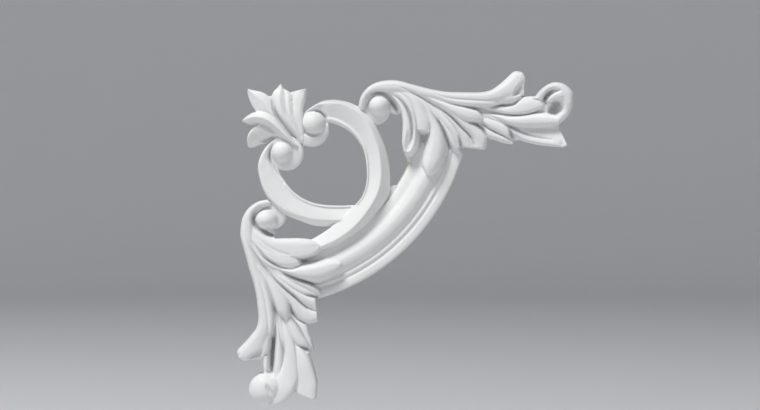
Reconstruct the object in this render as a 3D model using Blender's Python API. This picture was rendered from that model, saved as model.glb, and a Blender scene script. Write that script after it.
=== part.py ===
"""Corner ornament cast in one piece of rigid foam: two leafy arms, a quarter moulding between them,
a ring of crossing C-scrolls and a palmette in the corner, all in relief on a flat back.

Frame: the back lies in the plane y = 0 and the relief rises towards -Y; +X runs to the right along the
upper arm and +Z up; the origin is on the back of the quarter moulding, on the corner's diagonal."""
import bpy
import numpy as np

MM = 0.001
SIDE = 190.0                 # the ornament fills a square of this side
ORIGIN = 87.4                # the origin's distance from the square's top and left sides
GRID = 1.0                   # spacing of the modelled surface
FACES = 9000                 # triangles kept in the finished solid
STATION_STEP = 0.6           # spacing of stations on the curves
SKIRT = 3.0                  # steepness of a leaf's side where it stands over another
BLEND = 0.3                  # fillet between neighbouring forms
BOW_CENTRE = (12.1, 13.2)    # the quarter moulding is struck from here
BOW_SPAN = 58.4              # degrees
BOW_SINK = 0.5               # how far its ends sink under the leaves
# radius and height along the quarter moulding's section, from its inner to its outer edge
BOW_PROFILE = ((92.6, 4.6), (93.4, 5.8), (95.5, 6.6), (98.0, 6.9), (99.2, 7.7), (101.5, 9.5), (103.8, 10.2),
               (106.0, 9.7), (108.5, 8.0), (110.6, 6.3), (112.0, 7.2), (113.8, 6.0), (114.8, 6.9), (116.2, 7.3),
               (118.4, 7.1), (119.5, 6.0))
# how far the lower arm strays from the mirror image: place along it, shift of its outer and inner side, run
LOWER_ARM_DRIFT = ((62, -3.0, -3.0, 4.5), (80, -3.2, -3.0, 4.2), (88, -3.3, -2.4, 3.4), (95, -3.5, -1.4, 2.8),
                   (112, -3.8, 0.2, 1.4), (121, -2.4, 0.8, 1.0), (130, -1.0, 1.2, 1.2), (143, 0.2, 1.6, 1.8),
                   (156, -0.2, 2.0, 2.0), (166, 0.3, 2.2, 1.0), (178, 1.2, 3.0, 0.2), (187, 0.8, 1.6, 0.0),
                   (192, 0.0, 1.0, 0.0))


# Relief: heights in mm over the layout square, x to the right and d down from its top left corner


def curve_through(rows, step=STATION_STEP):
    """Even stations on a smooth curve through the rows; columns after the first two ride along."""
    p = np.array(rows, float)
    p = np.vstack([2 * p[0] - p[1], p, 2 * p[-1] - p[-2]])
    parts = []
    for i in range(1, len(p) - 2):
        a, b, c, e = p[i - 1:i + 3]
        n = max(2, int(np.hypot(*(c - b)[:2]) / step))
        t = (np.arange(n) / n)[:, None]
        parts.append(0.5 * (2 * b + (c - a) * t + (2 * a - 5 * b + 4 * c - e) * t ** 2
                            + (3 * b - a - 3 * c + e) * t ** 3))
    parts.append(p[-2][None])
    return np.vstack(parts)


def soft_max(a, b, k):
    """The higher of two surfaces, with the corner between them filled over k mm."""
    return np.maximum(a, b) + np.maximum(k - np.abs(a - b), 0) ** 2 / (4 * k)


# sections across a leaf: 0 on the crest, 1 on the edge, giving the share of the fall reached there
SECTIONS = {
    "round": lambda q: q ** 2,
    "cushion": lambda q: q ** 2.8,
    "ridge": lambda q: q ** 1.1,
    "flat": lambda q: np.clip(2 * q - 1, 0, 1) ** 1.6,
}


class Relief:
    """Height and silhouette over a set of points; a point belongs to the ornament where inside is above zero."""

    def __init__(self, x, d, h=None, inside=None):
        self.x, self.d = x, d
        self.h = np.zeros(x.size) if h is None else h
        self.inside = np.full(x.size, -99.0) if inside is None else inside

    def nearest(self, s, half, margin):
        """Points near the swept discs, the disc each one is deepest in, and its distance outside the sweep."""
        reach = half.max() + margin
        low, high = s.min(0) - reach, s.max(0) + reach
        idx = np.nonzero((self.x > low[0]) & (self.x < high[0]) & (self.d > low[1]) & (self.d < high[1]))[0]
        best, at = np.full(idx.size, 1e9), np.zeros(idx.size, int)
        for first in range(0, len(s), 48):
            seg = s[first:first + 48]
            gap = np.hypot(self.x[idx, None] - seg[:, 0], self.d[idx, None] - seg[:, 1]) - half[first:first + 48]
            j = gap.argmin(1)
            g = gap[np.arange(idx.size), j]
            at = np.where(g < best, j + first, at)
            best = np.minimum(g, best)
        return idx, at, best

    def leaf(self, rows, fall, section="round", lean=0.0, blunt="", k=BLEND):
        """A leaf, roll or band between two edges: each row has both edge points and the height of the crest.

        fall is the drop from the crest to the first and second edge, lean moves the crest from the middle
        (0) towards the first (-1) or second edge (1), unless each row has its own as a sixth number, and
        blunt squares off its start or end."""
        e = curve_through(rows)
        mid, across = (e[:, :2] + e[:, 2:4]) / 2, e[:, 2:4] - e[:, :2]
        width = np.maximum(np.hypot(across[:, 0], across[:, 1]), 0.1)
        n, half = across / width[:, None], width / 2
        idx, at, gap = self.nearest(mid, half, 2.5)
        off = np.column_stack([self.x[idx], self.d[idx]])
        for where, end, inner in (("start", 0, 3), ("end", -1, -4)):
            if where in blunt:
                out = np.array([n[end, 1], -n[end, 0]])
                out *= np.sign(out @ (mid[end] - mid[inner]))
                past = (off - mid[end]) @ out
                close = np.hypot(*(off - mid[end]).T) < 2 * half[end] + 2
                gap = np.where((past > 0) & close, np.maximum(gap, past), gap)
        off = off - mid[at]
        lateral = (off * n[at]).sum(1) / half[at]
        along = np.clip((off ** 2).sum(1) / half[at] ** 2 - lateral ** 2, 0, None)
        lean = e[at, 5] if e.shape[1] > 5 else lean
        u = np.where(lateral > lean, (lateral - lean) / (1 - lean), (lean - lateral) / (1 + lean))
        q = np.clip(np.sqrt(u ** 2 + along), 0, 1)
        drop = np.where(lateral > lean, fall[1], fall[0])
        h = e[at, 4] - drop * SECTIONS[section](q) - SKIRT * np.maximum(gap, 0)
        self.h[idx] = soft_max(self.h[idx], h, k)
        self.inside[idx] = np.maximum(self.inside[idx], -gap)

    def groove(self, rows):
        """A cut with a round section; each row has its middle, half width and depth."""
        s = curve_through(rows)
        half = np.maximum(s[:, 2], 0.01)
        idx, at, gap = self.nearest(s[:, :2], half, 0.5)
        q = np.clip((gap + half[at]) / half[at], 0, 1)
        self.h[idx] -= s[at, 3] * (1 - q ** 2) ** 2 * (gap < 0)

    def eye(self, x, d, radius, top, drop=5.0, k=3.0):
        """The round eye of a scroll, a ball that swells out of its turn and drops so far over its radius."""
        dist = np.hypot(self.x - x, self.d - d)
        side = 1 - np.sqrt(np.clip(1 - 0.92 * np.minimum(dist / radius, 1) ** 2, 0, 1))
        self.h = soft_max(self.h, top - drop * side / 0.72 - 2.5 * np.maximum(dist - radius, 0), k)
        self.inside = np.maximum(self.inside, radius - dist)

    def turn(self, x, d, radius, height, dome=1.8):
        """The round turn of a scroll under its eye, slightly domed towards its rim."""
        dist = np.hypot(self.x - x, self.d - d)
        h = height - dome * np.minimum(dist / radius, 1) ** 2.5 - SKIRT * np.maximum(dist - radius, 0)
        self.h = soft_max(self.h, h, BLEND)
        self.inside = np.maximum(self.inside, radius - dist)


def bow(r):
    """The quarter moulding that ties the arms: fillet, broad roll, thin bead between two lines, outer fillet."""
    dist = np.hypot(r.x - BOW_CENTRE[0], r.d - BOW_CENTRE[1])
    angle = np.degrees(np.arctan2(r.d - BOW_CENTRE[1], r.x - BOW_CENTRE[0]))
    h = np.interp(dist, [p[0] for p in BOW_PROFILE], [p[1] for p in BOW_PROFILE])
    h -= BOW_SINK * np.clip((np.abs(angle - 45) - 20) / 9, 0, 1) ** 1.5
    ends = (BOW_SPAN / 2 - np.abs(angle - 45)) * 1.9
    inside = np.minimum(np.minimum(dist - BOW_PROFILE[0][0], BOW_PROFILE[-1][0] - dist), ends)
    r.h = np.where(inside > 0, soft_max(r.h, h, BLEND), r.h)
    r.inside = np.maximum(r.inside, inside)


def ring(r):
    """The two crossing C-scrolls round the large opening and their small scroll ends."""
    # under
    r.leaf(((18.3, 38.8, 20.5, 39.8, 8.8, -0.6), (14.6, 43, 18.2, 43.2, 9.8, -0.7),
            (11.4, 49.2, 18.0, 49, 10.4, -0.8), (10.4, 55, 22.2, 55.0, 10.8, -0.88),
            (12.8, 65.2, 24.2, 59.6, 11.0, -0.86), (17.8, 73.8, 28.9, 65.7, 11.0, -0.78),
            (24.6, 79.8, 33.8, 70.2, 11.0, -0.68), (33, 83.8, 39.2, 73.1, 11.0, -0.56),
            (41, 86.8, 44.6, 74.7, 10.8, -0.45), (49.5, 87.9, 50.5, 75.5, 10.4, -0.38),
            (58, 88, 58, 75.7, 10, -0.36), (68, 87, 68, 75.7, 9.4, -0.36)), (4.2, 3.0), "ridge")
    # under rim
    r.leaf(((23.2, 57.8, 22.2, 58.6, 8.4), (28.9, 65.7, 27.7, 66.7, 9.0), (33.8, 70.2, 32.9, 71.5, 9.1),
            (39.2, 73.1, 38.6, 74.5, 9.1), (44.6, 74.7, 44.3, 76.2, 9.0), (50.5, 75.5, 50.4, 77.0, 8.8),
            (58, 75.7, 58, 77.1, 8.4), (66, 75.4, 66, 76.6, 8.0)), (0.8, 0.8), k=0.15)
    # over
    r.leaf(((37.2, 21.5, 38.2, 23.5, 9.6, -0.5), (41, 19.0, 42.4, 22.3, 10.6, -0.6),
            (46, 16.3, 47.5, 22.5, 11.6, -0.68), (51, 15.1, 50.5, 27.3, 12.0, -0.72),
            (56.5, 15.1, 55, 28.7, 12.2, -0.7), (63, 16.6, 59, 30.5, 12.3, -0.66),
            (70, 20.3, 63.0, 33.1, 12.4, -0.58), (75.5, 26, 66.5, 36.5, 12.4, -0.48),
            (79.7, 33.4, 69.1, 40.4, 12.4, -0.4), (83.0, 41.4, 71.4, 45.4, 12.5, -0.34),
            (85.2, 50, 72.5, 51.6, 12.7, -0.27), (86.2, 60, 72.8, 59.5, 13.0, -0.17),
            (84.8, 69, 72.0, 65.3, 13.3, -0.14), (80.8, 75.8, 69.9, 70.7, 13.5, -0.2),
            (75.3, 83.2, 66.4, 75.0, 13.5, -0.28), (69.2, 89.8, 61, 80.6, 13.3, -0.36),
            (61.3, 95.4, 55, 86, 13.0, -0.44), (53, 99.6, 48.5, 90.8, 12.6, -0.47),
            (45, 102.2, 41.3, 95, 12.2, -0.47), (37, 104, 36, 97, 11.4, -0.47)), (6.0, 3.8), "ridge")
    # over rim
    r.leaf(((50.3, 27.6, 49.2, 24.4, 9.6), (53.6, 28.1, 54.3, 25.2, 10.0), (58.2, 29.9, 59.8, 27.6, 10.2),
            (63.3, 33.4, 65.2, 31.5, 10.3), (67.2, 37.7, 69.4, 36.3, 10.4), (70.5, 43.3, 72.3, 42.5, 10.5),
            (72.2, 50, 73.6, 49.7, 10.8), (72.8, 57, 73.9, 57.1, 11.0), (72.3, 64, 73.3, 64.3, 11.2),
            (70.2, 70, 71.1, 70.6, 11.2), (67, 74.6, 67.9, 75.4, 11.0)), (0.9, 0.9), k=0.15)
    # gusset
    r.leaf(((85.4, 64.4, 90.4, 64.0, 4.4), (84.0, 69.6, 87.8, 70.2, 4.4), (79.8, 75.2, 83.4, 77.4, 4.6),
            (74.2, 82.0, 77.6, 84.8, 4.6), (68.6, 88.2, 71.4, 91.4, 4.4)), (0.4, 0.4), "flat", blunt="start")
    # upper turn
    r.turn(41.0, 31.6, 10.2, 9.8)
    # upper eye
    r.eye(42.3, 28.3, 6.5, 13.8, 4.8, 2.4)
    # lower turn
    r.turn(26.3, 45.4, 10.2, 9.6)
    # lower eye
    r.eye(24.3, 44.8, 5.9, 13.8, 4.4, 2.2)
    # lower hollow
    r.groove(((20.4, 39.9, 0.8, 0.6), (18.2, 42.6, 1.2, 2.0), (17.1, 46.5, 1.3, 2.6), (17.6, 50.5, 1.3, 2.6),
              (19.5, 54.3, 1.3, 2.2), (22.0, 58, 1.2, 1.4), (25.4, 63.0, 0.9, 0.6)))
    # upper hollow
    r.groove(((43, 20.8, 0.7, 0.5), (46.6, 22.4, 1.1, 2.0), (49.1, 25.4, 1.2, 2.2), (49.5, 29, 1.0, 0.8)))
    # foot hollow
    r.groove(((35.4, 27.6, 0.8, 0.6), (35.9, 31, 1.3, 2.0), (38.4, 34.2, 1.5, 2.2), (42.5, 35.3, 1.5, 1.8),
              (46.2, 34.0, 1.0, 0.5)))


def palmette(r):
    """Five leaves fanning out from the inner corner, the left one standing over the rest."""
    # ground
    r.turn(21.5, 24.3, 12.2, 8.0)
    # low leaf
    r.leaf(((4.8, 42.0, 5.6, 41.9, 7.4, -0.5), (4.4, 38.5, 9.5, 40.4, 9.0, -0.7),
            (5.4, 34, 13, 39.0, 10.2, -0.8), (8.4, 31, 16.2, 38.6, 10.6, -0.85),
            (12, 29.8, 19, 38.4, 10.8, -0.85), (18, 31.5, 21, 38.2, 10.4, -0.8), (24, 36, 25, 41, 9.6, -0.6)),
            (1.4, 3.4), "ridge")
    # right leaf
    r.leaf(((28.7, 11.0, 38.0, 8.6, 9.8), (30.0, 14, 37.6, 13.5, 10.8), (30.6, 19, 36.6, 19, 11.3),
            (31, 24, 36.6, 23.5, 11.4), (32.5, 30, 37, 30, 10.8), (34.8, 38, 37.5, 37, 9.4)), (1.5, 1.5),
            "cushion", blunt="start")
    # top rib
    r.leaf(((24.8, 8.9, 25.8, 9.2, 9.0), (25.8, 12.7, 29.6, 12.4, 10.8), (25.9, 18, 30.3, 17, 11.6),
            (27.0, 23.5, 30.9, 22.8, 11.8), (29.6, 28.5, 33, 28, 11.4), (33, 35, 35.5, 34, 9.9)), (1.4, 1.4),
            "ridge")
    # top leaf
    r.leaf(((23.2, 5.9, 23.7, 5.9, 8.6), (20.9, 10.0, 25.4, 9.6, 10.6), (18.6, 13.2, 26, 13, 11.8),
            (19.6, 18, 26.3, 18, 12.4), (22, 24, 27.7, 23.5, 12.4), (26, 29.5, 31, 28, 11.9),
            (31.5, 36, 34.5, 34.5, 10.4), (35, 41, 37, 40, 8.9)), (2.0, 1.8), "ridge", lean=0.15)
    # corner leaf
    r.leaf(((4.5, 9.2, 5.1, 8.8, 9.0), (4.9, 12.2, 7.6, 9.8, 10.4), (6.2, 16, 12.0, 11.2, 11.6),
            (8.2, 20, 16.4, 12.9, 12.3), (10.6, 23.0, 19.4, 17, 12.5), (15.5, 25.0, 20.8, 22, 12.4),
            (21, 30, 24.5, 27.5, 11.4), (27, 36, 29.5, 33, 10.4), (33, 42, 35, 39, 8.9)), (3.2, 1.6), "ridge",
            lean=0.2)
    # left leaf
    r.leaf(((1.2, 27.3, 1.5, 26.7, 8.4, 0.0), (5.2, 28.9, 5.4, 24.1, 12, 0.15),
            (10.5, 29.8, 9.2, 22.2, 14, 0.2), (16, 31.3, 15.2, 23.0, 14.6, 0.1), (21, 34, 20, 26.2, 14.5, 0.0),
            (27, 39.5, 26, 31.5, 13.6, -0.1), (32, 42.6, 31.2, 37.4, 11.6, -0.2),
            (34.8, 43.2, 34.4, 40.4, 9.6, -0.2)), (6.4, 3.2), "ridge")
    # main line
    r.groove(((18.6, 13.2, 0.8, 0.4), (19.4, 18, 1.2, 1.6), (21.3, 24, 1.6, 3.0), (25.3, 29.8, 1.9, 4.0),
              (30.0, 35.6, 2.0, 4.0), (34.6, 40.3, 1.7, 2.6)))
    # low hollow
    r.groove(((12.6, 37.9, 1.4, 1.0), (15.8, 37.6, 2.6, 3.4), (19.8, 37.2, 2.2, 2.8), (24, 38.2, 1.2, 0.8)))


def arm_end(r, lower):
    """The far half of an arm: blade, long body, ribs and the curl, a closed knob on the lower arm."""
    if lower:
        # outer rib
        r.leaf(((152, 14.8, 152, 17.6, 12.0), (158, 13.0, 158.6, 16.8, 12.6), (165, 12.8, 165.6, 16.4, 12.6),
                (172, 13.2, 172.4, 16.2, 12.4)), (2.4, 1.4), "cushion")
    # far ground
    r.leaf(((126, 14, 126, 40, 8.0), (140, 13, 140, 34, 8.0), (152, 13, 152, 36, 8.5), (162, 14, 162, 36, 9),
            (173, 14, 174, 38, 9.5), (180, 16, 181, 38, 9.5)), (0.8, 0.8), "flat", blunt="start end")
    # curl ground
    if lower:
        r.turn(180.2, 13.6, 9.0, 18.4, 4.4)
    else:
        r.turn(180.6, 16.6, 9.0, 11.0)
    # blade edge
    r.leaf(((154.8, 34.0, 157.6, 38.8, 9.6), (160, 33.2, 160.2, 37.9, 10.4), (166, 34.6, 166, 39.5, 10.8),
            (173, 36.0, 173, 41.0, 10.8), (180, 37.2, 180.4, 41.7, 10.4), (184.6, 39.4, 185.0, 41.9, 9.8)),
            (0.8, 1.8), "cushion", lean=0.2, k=0.8)
    # blade face
    r.leaf(((152.5, 28.0, 151.5, 31.5, 11.0), (159, 29.6, 157.5, 35.0, 11.4), (166, 30.0, 165, 38.6, 11.6),
            (173, 30.0, 172.5, 40.6, 11.8), (179, 30.0, 180, 41.6, 12.2), (182.4, 30.6, 187.2, 41.6, 12.6)),
            (2.8, 0.8), "ridge", lean=0.8, blunt="start end")
    # body
    r.leaf(((136, 21.5, 135.5, 25.0, 10.8), (146, 23, 145, 27.2, 12.4), (154, 24.4, 153, 29.6, 13.4),
            (161, 24.3, 160.2, 30.6, 14.0), (168, 23.4, 167.5, 30.8, 14.4), (175, 23.4, 175, 30.6, 14.6),
            (182, 24.4, 182.3, 30.0, 14.6)), (2.6, 2.2), "cushion", blunt="end", k=0.6)
    # blade leaf
    r.leaf(((137, 27.8, 136.5, 30.5, 10.4), (143, 31.6, 141.5, 36.4, 11.2), (148, 34.3, 146.5, 38.0, 11.2),
            (152, 36.4, 150.8, 39.5, 10.8), (156.4, 39.4, 155.8, 40.4, 9.6)), (1.8, 1.8), "cushion")
    # blade rib
    r.leaf(((138, 24.2, 137, 27.8, 11.6), (144, 26.0, 142.5, 31.4, 12.3), (149.5, 28.2, 147.5, 34.2, 12.3),
            (153.6, 31.4, 151, 36.3, 11.8), (154.8, 35.2, 153.4, 37.3, 10.6)), (1.8, 2.2), "cushion")
    # channel rib
    if lower:
        r.leaf(((134, 19.5, 134, 22.4, 11.4), (142, 20.2, 142, 23.4, 12.6), (150, 20.4, 150, 24.0, 13.2),
                (158, 19.8, 158, 23.8, 13.6), (166, 19.0, 166, 23.4, 13.8), (172, 18.4, 172, 22.4, 13.6)),
                (1.8, 1.2), "cushion")
    else:
        r.leaf(((130, 18.3, 130, 20.8, 11), (138, 18.6, 138, 22, 11.8), (146, 18.3, 146, 22.9, 12.4),
                (153, 17.2, 153, 23.8, 13.0), (160, 14, 160.5, 23.8, 13.4), (165, 13.2, 166, 22.6, 13.4),
                (169.4, 13.4, 170.4, 20.8, 12.8), (172.0, 14.6, 172.8, 19.0, 11.2)), (2.6, 1.8), "cushion",
                lean=0.45, k=0.8)
    # bump face
    r.leaf(((151, 8, 151, 15, 11.5), (156, 5, 156, 14, 12), (162.3, 4.5, 162.5, 13, 12)), (1.2, 0.8), "flat",
            blunt="start end")
    # bump lobe
    r.leaf(((145.0, 13.0, 146.0, 18.4, 13.8), (150, 10.4, 151, 17.9, 14.2), (155, 10.0, 156, 17.4, 14.0),
            (158.6, 11.4, 159.6, 15.6, 13.2)), (1.0, 2.4), "cushion")
    # curl rim
    if lower:
        r.leaf(((183, 29, 179.0, 25.5, 14), (188, 23.6, 183.8, 21.6, 14.6), (190.2, 17, 184.4, 17.4, 14.6),
                (189.1, 10.6, 184.0, 13.4, 14.0), (185.5, 6.8, 182.2, 10.8, 13.6), (180, 5.4, 179.6, 9.2, 13.4),
                (175.2, 6.9, 176.8, 9.8, 13.2), (171.8, 9.8, 174.0, 11.9, 12.6)), (3.2, 0.6), "cushion")
    else:
        r.leaf(((183, 29, 179.0, 25.5, 14), (188, 23.6, 183.8, 21.6, 16), (190.2, 17, 184.4, 17.4, 17.6),
                (189.1, 10.6, 183.6, 13.4, 18.4), (185.5, 6.8, 181.8, 11.2, 18.6), (180, 5.4, 179.6, 9.8, 18.2),
                (175.2, 6.9, 177.2, 10.6, 17), (171.8, 9.8, 174.8, 12.7, 15.2),
                (169.6, 12.7, 173.2, 15.0, 12.8)), (3.2, 2.0), "cushion")
    # curl tongue
    if lower:
        r.leaf(((158, 24.5, 158, 29.6, 13.0), (166, 22.6, 166, 30.2, 14.0), (174, 19.8, 174.6, 30.0, 15.2),
                (179.6, 17.8, 181.0, 29.6, 16.2), (184.6, 17.4, 186.0, 26.0, 16.0),
                (188.0, 16.0, 189.0, 20.5, 15.0)), (1.4, 2.6), "cushion")
    else:
        r.leaf(((189.4, 14.5, 184.0, 18.0, 17.6), (188.0, 9.2, 183.2, 16.0, 18.3),
                (183.6, 8.2, 182.0, 15.4, 18.2), (180.4, 10.0, 180.4, 15.2, 17.2),
                (177.8, 12.2, 178.4, 15.4, 15.8), (176.0, 14.6, 176.8, 16.6, 14.2)), (1.4, 2.6), "cushion",
                k=0.8)
    # curl upper hollow
    if lower:
        r.groove(((176.6, 14.4, 0.9, 0.3), (179.0, 15.2, 1.7, 1.2), (181.6, 16.6, 1.8, 1.5),
                  (184.8, 18.8, 1.1, 0.4)))
    else:
        r.groove(((175.4, 16.2, 1.4, 1.2), (174.9, 13.4, 2.0, 3.2), (176.4, 11.2, 1.9, 4.0),
                  (179.2, 10.2, 1.4, 2.6), (181.8, 9.9, 0.8, 0.6)))
    # curl lower hollow
    if lower:
        r.groove(((146, 18.8, 1.2, 0.4), (153, 18.4, 2.0, 2.6), (161, 17.8, 2.3, 3.8), (168.2, 17.0, 2.0, 3.0),
                  (172.6, 16.6, 1.4, 0.8)))
    else:
        r.groove(((176.6, 23.6, 2.4, 0.8), (179.4, 20.6, 4.2, 4.0), (181.6, 17.4, 3.2, 3.6),
                  (182.4, 15.8, 1.8, 0.8)))


def arm_head(r, lower):
    """The near half of an arm: top roll, leaves, and the volute with its eye."""
    # near ground
    r.leaf(((97, 10, 98, 20, 5.6), (106, 10, 106, 30, 5.0), (114, 11, 114, 37, 4.6), (124, 12, 125, 40, 4.8),
            (135, 12, 137, 40, 6.0)), (0.6, 0.6), "flat", blunt="start end")
    # moulding root
    r.leaf(((118, 38.0, 126.6, 38.0, 6.0), (117.2, 41.6, 127.8, 41.6, 6.0), (116.8, 44.2, 127.2, 44.2, 6.0),
            (116.5, 46.6, 126.4, 46.6, 6.0)), (0.4, 0.6), "flat", blunt="start end")
    # fan ground
    r.leaf(((104, 12, 104, 22, 11.2), (112, 12, 112, 29, 11.2), (118, 12, 118, 34, 11.0),
            (124, 13, 124, 38, 10.4), (130, 14, 131, 39, 10.0), (136, 14, 138, 38, 9.6)), (0.8, 0.8), "flat",
            blunt="start end")
    # shoulder
    r.leaf(((82, 11.0, 84, 7.0, 13.2), (88.5, 14.6, 91.5, 7.5, 14.2), (92.8, 20, 100, 9.5, 14.5),
            (95.5, 24, 107, 14, 14.4), (99, 27, 113, 18, 13.6)), (2.0, 0.6), "cushion")
    # spoon ground
    r.leaf(((85, 10, 87, 7, 6.0), (92, 12.5, 96, 9, 6.0), (95, 20, 102, 17, 6.0), (95.5, 29, 108.5, 28, 5.4),
            (94.6, 42, 110, 42, 4.8), (95.4, 46.5, 110, 47.5, 4.8), (97.2, 50.8, 108, 54, 4.6)), (0.6, 0.6),
            "flat", blunt="end")
    # volute web
    r.leaf(((80, 14, 90, 9, 8.6), (84.6, 20.2, 92.8, 16.5, 8.6), (88.0, 20.8, 93.4, 19.4, 8.2)), (0.8, 0.8),
            "cushion")
    # volute turn
    r.turn(77.4, 20.4, 8.9, 8.4, 1.6)
    # strip
    r.leaf(((106, 11.6, 105.5, 13.6, 14.2), (114, 12.9, 113.3, 15.7, 14.9), (122, 14.0, 121.3, 17.6, 15.2),
            (130, 14.9, 129.5, 18.9, 15.2), (138, 15.1, 138, 19.4, 15.0), (144.5, 15.0, 145, 19.2, 14.5),
            (148.3, 16.8, 148, 18.6, 13.4)), (0.6, 2.4), "cushion")
    # top roll
    r.leaf(((68.0, 18.5, 71.4, 19.2, 10.8), (69.2, 13.5, 73.2, 15, 12.8), (72.6, 8.8, 76, 12, 14.0),
            (77, 5.8, 79.5, 10.6, 14.8), (83, 4.3, 84, 10.6, 15.2), (90, 4.2, 89.5, 10.8, 15.4),
            (97, 5.9, 96, 11.4, 15.5), (104, 7.8, 103, 13.2, 15.4), (112, 9.7, 111, 14.8, 15.4),
            (120, 10.8, 119.5, 16.0, 15.4), (130, 11, 130, 16.8, 15.4), (138, 10.9, 138.5, 17.0, 15.4),
            (144, 9.5, 146, 16.0, 15.5), (148.6, 6.4, 152, 14.3, 15.2), (152.2, 3.0, 159.4, 11.4, 14.8),
            (154.8, 0.6, 162.2, 6.2, 14.2)), (3.4, 1.2), "cushion", lean=-0.1)
    # first leaf
    r.leaf(((111, 24.0, 112.4, 23.2, 12.6), (114.4, 28.6, 116.4, 27.6, 12.8), (117.0, 33.5, 119.6, 32.6, 12.6),
            (119.4, 38.8, 122.6, 37.8, 12.2), (122, 43.0, 124.6, 41.8, 11.2), (125, 45.4, 125.8, 44.8, 9.8)),
            (1.8, 1.0), "cushion")
    # second leaf
    r.leaf(((110.4, 20.9, 113, 19.5, 13.2), (114.4, 26.5, 118, 24.5, 13.4), (119.2, 32, 122.2, 29.9, 13.2),
            (122.4, 37.8, 125.6, 35.8, 12.2), (124.6, 42.4, 126.4, 41.4, 10.8)), (1.0, 1.8), "cushion")
    # third leaf
    r.leaf(((108, 16.6, 109.5, 15.9, 13.6), (114, 21.8, 116.0, 20.8, 14.0), (118.6, 26.4, 121.0, 25.0, 14.0),
            (122.6, 31.5, 125.6, 29.6, 13.6), (125.8, 37.2, 130.4, 34.8, 12.8),
            (127.6, 42.0, 134.6, 42.7, 11.4)), (1.8, 1.8), "cushion", blunt="end")
    # fourth leaf
    r.leaf(((114, 19.6, 116, 18.6, 13.6), (120, 24, 122.5, 22.3, 14.0), (126, 30, 129, 26.8, 13.6),
            (131, 34.6, 135.0, 29.5, 13.0), (133.6, 38.6, 141.0, 35.4, 12.2), (134.2, 42.7, 140.8, 43.2, 10.8)),
            (1.8, 2.2), "cushion", blunt="end")
    # fifth leaf
    r.leaf(((103, 12.8, 105, 12, 14.0), (109, 16.4, 111, 14.0, 14.8), (115, 19.8, 117, 15.6, 15.2),
            (121, 23.8, 123.5, 17.8, 15.5), (127, 26.9, 129.5, 19.2, 15.5), (132, 28.0, 134.6, 21.2, 15.1),
            (136.2, 27.9, 138, 24.4, 13.8)), (3.0, 2.0), "cushion")
    # drop leaf
    r.leaf(((97.5, 12, 100.5, 11.3, 14.2), (102.5, 16.6, 106, 15.4, 14.8), (105.8, 21.6, 109.8, 20.6, 15.0),
            (107.6, 27, 113.0, 26.4, 15.1), (108.7, 32, 115.8, 31.6, 15.2), (108.3, 37, 117.6, 37.2, 15.2),
            (107.2, 42, 118.2, 43, 15.0), (105.8, 47, 117.0, 48.8, 14.6), (104.9, 51.5, 114.4, 53.6, 14.0),
            (105.8, 55.6, 111.0, 57.2, 13.0)), (3.4, 3.8), "cushion", lean=-0.15)
    # short leaf
    if lower:
        r.leaf(((88, 10.2, 91, 9.0, 14.2), (94.6, 13.8, 96.4, 11.6, 14.9), (99.0, 18.6, 103.4, 16.6, 15.2),
                (101.0, 24, 108.0, 22.8, 15.2), (102.0, 29.5, 109.4, 29.0, 14.9),
                (103.0, 33.4, 108.0, 35.0, 14.0)), (0.8, 1.8), "cushion", blunt="end")
    else:
        r.leaf(((88, 10.2, 91, 9.0, 14.2), (94.6, 13.6, 97.6, 12, 14.9), (98.6, 18.4, 102.4, 16.5, 15.2),
                (100.4, 24, 105.6, 22.3, 15.2), (101.2, 29, 107.9, 28.0, 15.0),
                (101.2, 32.6, 108.3, 33.2, 14.4)), (1.2, 1.2), "cushion", blunt="end")
    # spoon leaf
    if lower:
        r.leaf(((76, 12.6, 78, 10.4, 11.6), (83, 13.2, 86.5, 10.4, 13.4), (89.2, 17.6, 94, 13.0, 14.6),
                (91.8, 23, 99.5, 18.8, 15.0), (92, 30, 102.3, 26.6, 15.2), (91.8, 37, 102.6, 34.2, 15.0),
                (92.6, 42.6, 100.8, 40.4, 14.4), (94.4, 45.8, 98.0, 45.0, 13.2)), (2.0, 1.0), "cushion")
    else:
        r.leaf(((76, 12.6, 78, 10.4, 11.6), (83, 13.2, 85.5, 10.8, 13.2), (88.6, 16.6, 91.8, 14.0, 14.2),
                (91.9, 21.4, 95.9, 19.8, 14.6), (93.2, 27, 98.0, 26.4, 14.8), (93.2, 33, 98.9, 32.8, 14.8),
                (92.9, 39, 98.6, 39.2, 14.4), (93.6, 43.6, 97.6, 44.4, 13.4)), (1.8, 1.6), "cushion", lean=-0.2)
    # spoon rim
    if lower:
        r.leaf(((98.4, 30, 103, 31.6, 14.6), (98.4, 35, 103.4, 36.2, 14.4), (97.2, 40.4, 101.4, 41.6, 13.8),
                (95.6, 44.4, 97.8, 45.4, 13.0)), (1.0, 1.4), "cushion")
    else:
        r.leaf(((82, 10.8, 83.5, 9.5, 13.2), (88.5, 12.2, 90.5, 10.4, 14.4), (93.3, 16.4, 96.0, 14.6, 15.2),
                (96.3, 21.8, 99.3, 20.6, 15.6), (98.2, 27.5, 101.0, 26.9, 15.6),
                (98.8, 33.5, 101.4, 33.4, 15.4), (98.5, 39, 101.0, 39.6, 14.9), (96.9, 43.2, 99.2, 44.6, 14.0),
                (95.0, 44.9, 95.4, 46.7, 12.8)), (1.6, 1.8))
    # volute eye
    r.eye(79.9, 18.2, 5.7, 15.6, 5.0, 1.2)
    # volute hollow
    r.groove(((71.8, 18.5, 0.8, 0.5), (72.8, 14.4, 1.3, 2.2), (76.5, 11.6, 1.6, 3.4), (81.2, 11.4, 1.7, 4.0),
              (85.6, 13.9, 1.9, 4.2), (88.2, 17.4, 2.1, 3.8), (89.6, 20.2, 1.9, 2.6), (90.4, 22.4, 1.2, 0.8)))
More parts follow.
